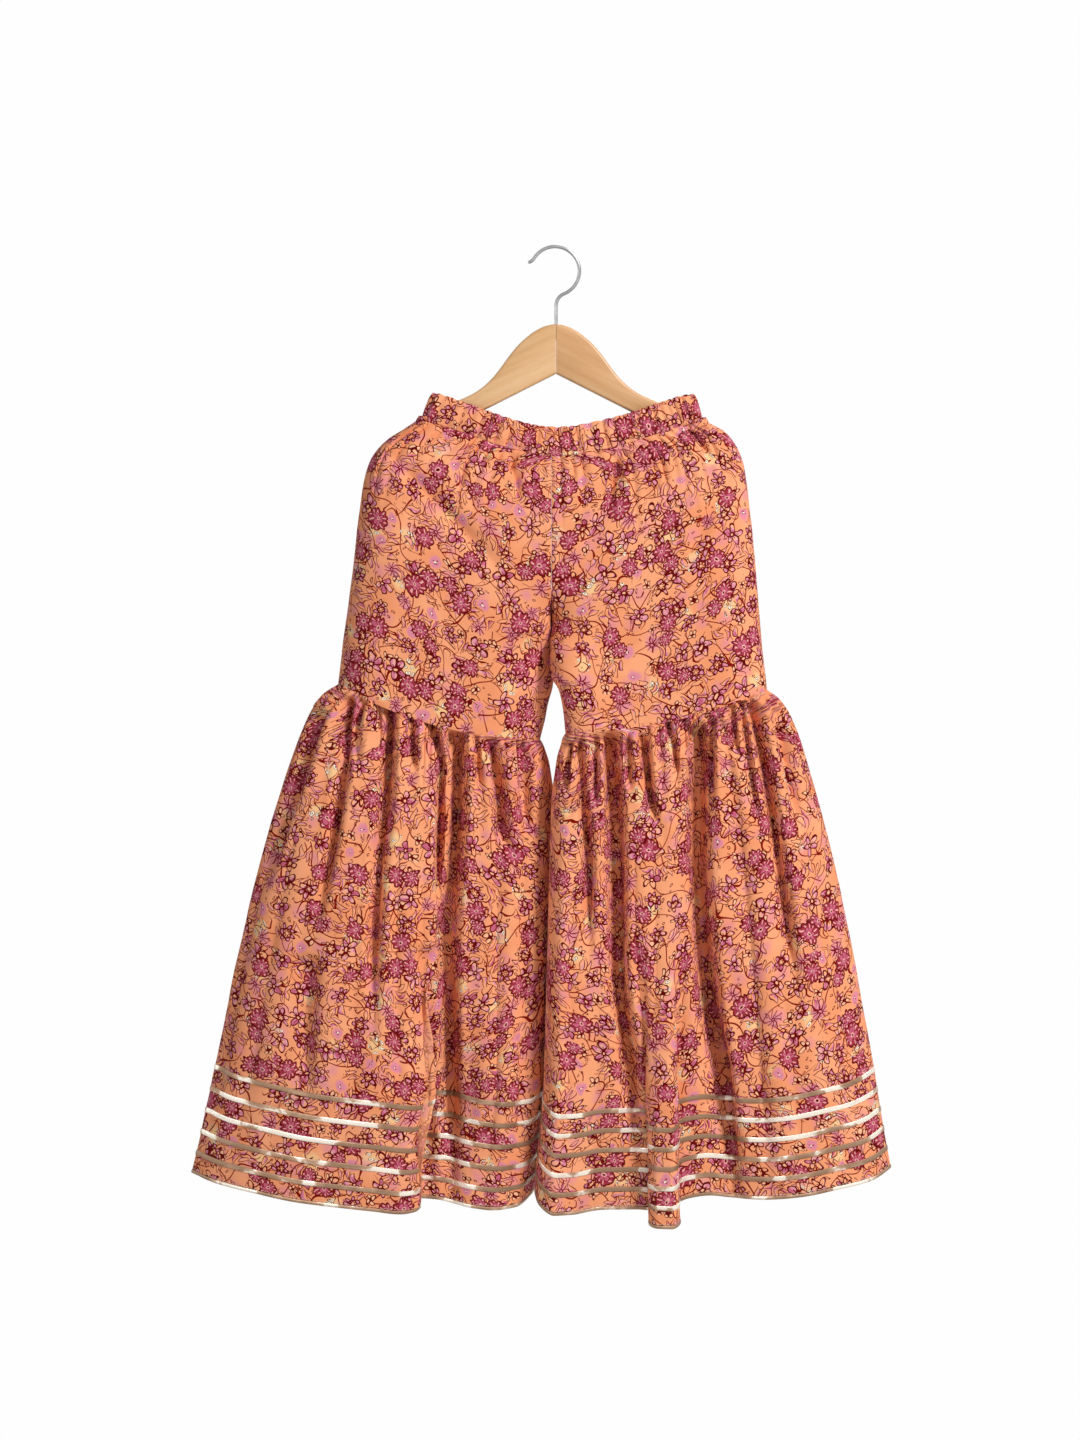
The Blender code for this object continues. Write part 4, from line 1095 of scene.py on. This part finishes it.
    def vines(self, slant, period, seed):
        """Long swinging stems that come and go."""
        put = self.put
        turned = put("VectorRotate", self.flat, (0, 0, 0), slant, rotation_type="Z_AXIS")
        x, y, _ = put("SeparateXYZ", turned).outputs
        swing = put("Math MULTIPLY", put("Math SINE", put("Math DIVIDE", x, 8.5)), 5.5)
        moved = put("VectorMath ADD", self.flat, (seed, seed, 0))
        drift = put("TexNoise", moved, 0.022, 1.0, noise_dimensions="2D")
        lane = put("Math MULTIPLY_ADD", drift, 30.0, put("Math ADD", y, swing))
        away = put("Math PINGPONG", lane, period / 2)
        shown = put("Math COMPARE", drift.outputs["Color"], 0.52, 0.13)
        self.paint(VINE, put("Math LESS_THAN", away, 0.56), shown)


def floral_print():
    """Group: the whole print, from a place on the cloth in millimetres."""
    tree, sockets = new_group("floral print", "Place", "Colour")
    put = partial(add, tree)
    cotton = Print(put, sockets[0])

    # Ground: gold and lilac blots, vines, eyes in the gold (a near-white painted highlight of foil round
    # each dark dot) and drops in clusters
    gold = cotton.some(cotton.scatter(50.0, 0.7, (3.3, 1.1, 0)), 0.0, 0.8)
    cotton.blot(gold, 4.0, 9.0, 0.9, GOLD)
    cotton.blot(cotton.some(cotton.scatter(27.0, 0.8, (0.4, 5.1, 0)), 0.0, 0.8), 1.5, 9.0, 0.6, LILAC)
    cotton.vines(0.62, 25.0, 0.0)
    cotton.vines(-0.85, 29.0, 310.0)
    near = put("Math MULTIPLY", put("Math LESS_THAN", gold[0], 8.0), gold[2])
    eyes = cotton.some(cotton.scatter(5.6, 0.8, (1.2, 3.9, 0)), 0.0, 0.6)
    for size, shade in ((1.7, OUTLINE), (1.35, PAINTED_HIGHLIGHT), (0.5, OUTLINE)):
        cotton.paint(shade, put("Math LESS_THAN", eyes[0], size), eyes[2], near)
    cluster = put("TexNoise", sockets[0], 0.035, 1.0, noise_dimensions="2D")
    beads = cotton.some(cotton.scatter(6.6, 0.85, (1.7, 4.4, 0), squash=(1, 1.8, 1)), 0.0, 0.6)
    drop = put("Math COMPARE", beads[0], 1.35, 0.42)
    cotton.paint(OUTLINE, drop, beads[2], put("Math GREATER_THAN", cluster, 0.47))

    # Fine motifs
    fine = cotton.scatter(14.5, 0.75, (6.1, 0.7, 0))
    cotton.curls(cotton.some(fine, 0.86, 1.0), 5.0, 0.6, 2.5)
    cotton.leaves(cotton.some(fine, 0.30, 0.80), 5.6, 2.1, 0.06)
    small = cotton.some(fine, 0.0, 0.22)
    cotton.petals(small, 3.0, 4, 2.1, 0.9, BUD, OUTLINE, 0.85)
    cotton.disc(small, 0.8, OUTLINE)

    # Discs, stars, plain flowers and large leaves
    main = cotton.scatter(23.0, 0.6, (4.9, 6.6, 0))
    discs = cotton.some(main, 0.0, 0.12)
    cotton.disc(discs, 6.4, cotton.ground)
    cotton.blot(discs, 3.8, 6.2, 0.95, LILAC)
    cotton.rays(discs, 3, 0.5, 0.4, 2.0, PLUM_DEEP)
    # A painted highlight at each disc's centre
    cotton.disc(discs, 0.8, PAINTED_HIGHLIGHT)
    stars = cotton.some(main, 0.12, 0.24)
    cotton.blot(stars, 2.0, 8.6, 0.9, LILAC)
    cotton.rays(stars, 9, 0.42, 0.9, 7.6, PLUM_DEEP)
    for low, high, count, ring, size, fill in (
            (0.24, 0.46, 6, 5.4, 2.4, cotton.wash), (0.46, 0.74, 5, 5.4, 3.0, cotton.wash),
            (0.74, 0.90, 7, 5.5, 2.1, LILAC)):
        bloom = cotton.some(main, low, high)
        cotton.petals(bloom, ring, count, size, 0.7, fill)
        cotton.rays(bloom, count, 0.36, 0.9, ring * 0.8, PLUM_DEEP)
        cotton.disc(bloom, 1.1, BUD)
    cotton.leaves(cotton.some(main, 0.90, 1.0), 7.0, 2.5, 0.06)

    # Round many-petalled flowers, drawn last
    for low, size, shift in ((0.3, 7.8, (15.0, 3.5, 0)), (0.0, 9.2, (0, 0, 0))):
        rose = cotton.some(cotton.scatter(50.0, 0.55, (7.4, 1.8, 0), shift), low, 1.0)
        if not any(shift):
            cotton.stems(rose, 3, size, 24.0)
        cotton.petals(rose, size * 0.78, 10, size * 0.28, 1.0, PLUM)
        cotton.disc(rose, size * 0.8, PLUM)
        cotton.rays(rose, 10, 0.5, size * 0.42, size * 0.84, LILAC_PALE)
        cotton.petals(rose, size * 0.38, 6, size * 0.24, 0.9, MAUVE, PLUM_DEEP, 0.6)
        cotton.disc(rose, size * 0.2, LILAC_PALE)
        cotton.disc(rose, size * 0.1, OUTLINE)
    put("NodeGroupOutput", cotton.drawn)
    return tree


def printed_cotton(name, drawing, seed, reverse=False):
    """Printed cotton cambric, lightly calendered: soft, with a faint sheen on the outside."""
    made, put = new_material(name)
    flat = put("VectorMath SCALE", put("UVMap", uv_map="cloth"), 1 / MM)
    flat = put("VectorMath ADD", flat, (seed * 613.0, seed * 271.0, 0))
    drawn = put("Group", flat, node_tree=drawing)
    if reverse:
        # The dye shows through only in part on the wrong side
        drawn = put("Mix", 0.5, drawn, colour(GROUND), data_type="RGBA")
    # Plain weave, drawn at 0.9 mm because the real 0.3 mm threads are too fine to show
    axes = put("SeparateXYZ", flat)
    waves = [put("Math SINE", put("Math MULTIPLY", axis, 2 * pi / 0.9)) for axis in axes.outputs[:2]]
    slubs = put("TexNoise", flat, 0.5, 2.0, noise_dimensions="2D")
    relief = put("Math MULTIPLY_ADD", put("Math MULTIPLY", *waves), 0.35, slubs)
    bump = put("Bump", named={"Strength": 0.3, "Distance": 0.0002, "Height": relief})
    shine = put("MapRange", slubs, 0.3, 0.7, 0.62, 0.78)
    shader = put("BsdfPrincipled", named={
        "Base Color": drawn, "Roughness": shine, "Normal": bump, "IOR": 1.5,
        "Sheen Weight": 0.03, "Sheen Roughness": 0.45, "Specular IOR Level": 0.08})
    put("OutputMaterial", shader)
    return made


def metallic_ribbon():
    """Woven metallised ribbon: a beige ground with painted bright glints in patches along it, and fine
    cross ribs.
    """
    made, put = new_material("metallic ribbon")
    flat = put("VectorMath SCALE", put("UVMap", uv_map="cloth"), 1 / MM)
    place = put("VectorMath MULTIPLY", flat, (0.02, 0.024, 1.0))
    wear_and_painted_glints = put("TexNoise", place, 1.0, 4.0, noise_dimensions="2D")
    # Painted glints: the base colour turns near-white in patches along the ribbon, in place of the
    # lights' shine off the foil; the same noise also varies the roughness and the relief
    base = put("ValToRGB", wear_and_painted_glints, stops=(
        (0.45, 0x9C7A60), (0.52, 0xBC987C), (0.55, 0xF8ECDC), (1.0, 0xFFF6E8)))
    # Cross ribs of the weave, drawn at 1.1 mm because the real 0.4 mm ones are too fine to show
    run = put("SeparateXYZ", flat).outputs[0]
    ribs = put("Math SINE", put("Math MULTIPLY", run, 2 * pi / 1.1))
    relief = put("Math MULTIPLY_ADD", ribs, 0.5, wear_and_painted_glints)
    bump = put("Bump", named={"Strength": 0.6, "Distance": 0.0003, "Height": relief})
    shine = put("MapRange", wear_and_painted_glints, 0.3, 0.7, 0.42, 0.2)
    put("OutputMaterial", put("BsdfPrincipled", named={
        "Base Color": base, "Roughness": shine, "Normal": bump, "Metallic": 0.6}))
    return made


def lacquered_beech(name, side):
    """Steamed beech under satin lacquer: pale, with fine grain along the arm and short dark rays."""
    made, put = new_material(name)
    place = put("TexCoord").outputs["Object"]
    grain = put("Mapping", place, (side * 0.31, 0.17, 0.05), (0, side * radians(-24), 0), (1, 1, 1))
    bands = put("TexNoise", put("VectorMath MULTIPLY", grain, (9.0, 120.0, 140.0)), 1.0, 4.0, 0.55)
    pores = put("TexNoise", put("VectorMath MULTIPLY", grain, (60.0, 900.0, 1300.0)), 1.0, 2.0)
    # The right arm gets darker shades than the left: painted shade, for the light falling less on its
    # grain, which runs the other way
    shades = (0xCC9D69, 0xD8AA77, 0xDEB587) if side == LEFT else (0xC99562, 0xD3A271, 0xDAAD7E)
    body = put("ValToRGB", bands, stops=((0.3, shades[0]), (0.5, shades[1]), (0.72, shades[2])))
    rays = put("MapRange", pores, 0.62, 0.74, 0.0, 0.35)
    base = put("Mix", rays, body, colour(0xB98450), data_type="RGBA")
    bump = put("Bump", named={"Strength": 0.15, "Distance": 0.0002, "Height": pores})
    shine = put("MapRange", bands, 0.3, 0.7, 0.38, 0.5)
    put("OutputMaterial", put("BsdfPrincipled", named={
        "Base Color": base, "Roughness": shine, "Normal": bump, "IOR": 1.5,
        "Coat Weight": 0.25, "Coat Roughness": 0.3}))
    return made


def plated_steel():
    """Bright plated steel wire: a satin shine, with faint marks of drawing and wear."""
    made, put = new_material("plated steel wire")
    marks = put("TexNoise", put("TexCoord").outputs["Object"], 60.0, 2.0)
    base = put("ValToRGB", marks, stops=((0.3, 0x8E8E90), (0.7, 0xB6B5B4)))
    shine = put("MapRange", marks, 0.3, 0.7, 0.28, 0.36)
    put("OutputMaterial", put("BsdfPrincipled", named={
        "Base Color": base, "Roughness": shine, "Metallic": 1.0}))
    return made


def sewing_thread(name, shade):
    """Spun polyester thread: matt, with a fine twist."""
    made, put = new_material(name)
    twist = put("TexNoise", put("TexCoord").outputs["Object"], 2500.0, 1.0)
    light = put("MapRange", twist, 0.3, 0.7, 0.0, 0.35)
    base = put("Mix", light, colour(shade), colour(0xFFF2E0), data_type="RGBA")
    bump = put("Bump", named={"Strength": 0.3, "Distance": 0.0001, "Height": twist})
    put("OutputMaterial", put("BsdfPrincipled", named={
        "Base Color": base, "Roughness": 0.6, "Normal": bump}))
    return made


# Studio

def make_studio():
    """Camera at the photograph's angle, a pale floor, a white surround and soft light."""
    lens = bpy.data.cameras.new("camera")
    lens.lens = SENSOR * -CAMERA_PLACE[1] / VIEW_HEIGHT
    lens.clip_end = 100.0
    camera = add_object("camera", lens)
    camera.location = CAMERA_PLACE
    camera.rotation_euler = (pi / 2, 0, 0)
    bpy.context.scene.camera = camera

    bm = bmesh.new()
    bmesh.ops.create_grid(bm, x_segments=1, y_segments=1, size=2.0,
                          matrix=Matrix.Translation((0, 0, -1.25)))
    mesh = bpy.data.meshes.new("floor")
    bm.to_mesh(mesh)
    bm.free()
    pale = bpy.data.materials.new("pale floor paint")
    pale.use_nodes = True
    shader = pale.node_tree.nodes["Principled BSDF"]
    shader.inputs["Base Color"].default_value = colour(0xF2F0EE)
    shader.inputs["Roughness"].default_value = 0.8
    mesh.materials.append(pale)
    floor = add_object("floor", mesh)

    for name, place, size, power in LAMPS:
        light = bpy.data.lights.new(name, "AREA")
        light.size = size
        light.energy = power
        lamp = add_object(name, light)
        lamp.location = place
        aim = Vector(LAMP_AIM) - Vector(place)
        lamp.rotation_euler = aim.to_track_quat("-Z", "Y").to_euler()

    world = bpy.data.worlds.new("studio")
    world.use_nodes = True
    tree = world.node_tree
    tree.nodes.clear()
    seen = add(tree, "Background", (0.991, 0.991, 0.991, 1), 1.0)
    soft = add(tree, "Background", (1.0, 0.96, 0.94, 1), 0.15)
    # The white surround also shows in the wire and the ribbon
    path = add(tree, "LightPath")
    white = add(tree, "Math MAXIMUM", path.outputs["Is Camera Ray"], path.outputs["Is Glossy Ray"])
    add(tree, "OutputWorld", add(tree, "MixShader", white, soft, seen))
    bpy.context.scene.world = world
    bpy.context.scene.view_settings.view_transform = "Standard"


def main():
    make_studio()
    drawing = floral_print()
    reverse = printed_cotton("printed cotton reverse", drawing, 1, reverse=True)
    cottons = {LEFT: (printed_cotton("printed cotton left", drawing, 1), reverse),
               RIGHT: (printed_cotton("printed cotton right", drawing, 2), reverse)}
    ribbon = metallic_ribbon()
    thread = sewing_thread("orange sewing thread", 0xB4562F)
    pale_thread = sewing_thread("ivory sewing thread", 0xD8C8A8)

    band, band_rows = make_waistband(printed_cotton("printed cotton waist", drawing, 3))
    stitch_line("casing_stitches", band_rows[CASING_STITCHED], CASING_STITCH, thread,
                1)

    for side, side_name in SIDES:
        yoke = make_yoke(side, side_name, cottons[side])
        flare = Flare(side)
        lower = make_flare(flare, side_name, cottons[side])
        for index in range(RIBBON_ROWS):
            middle = RIBBON_FIRST + index * RIBBON_STEP[side]
            section = [(middle + RIBBON_WIDTH * share, out) for share, out in RIBBON_SECTION]
            node = f"{side_name}_gota_{index + 1}"
            make_ribbon(f"{side_name}_ribbon_{index + 1}", flare, section, ribbon, node)
        node = f"{side_name}_hem_edging"
        make_ribbon(f"{side_name}_edging", flare, EDGING_SECTION, ribbon, node)
        row = flare.row(2 - HEM_STITCH_Z / BORDER)
        stitch_line(f"{side_name}_hem_stitches", row + row[:1], HEM_STITCH, pale_thread,
                                 side)
        make_arm(side, side_name, lacquered_beech(f"lacquered beech {side_name}", side))
    make_hook(plated_steel())


main()
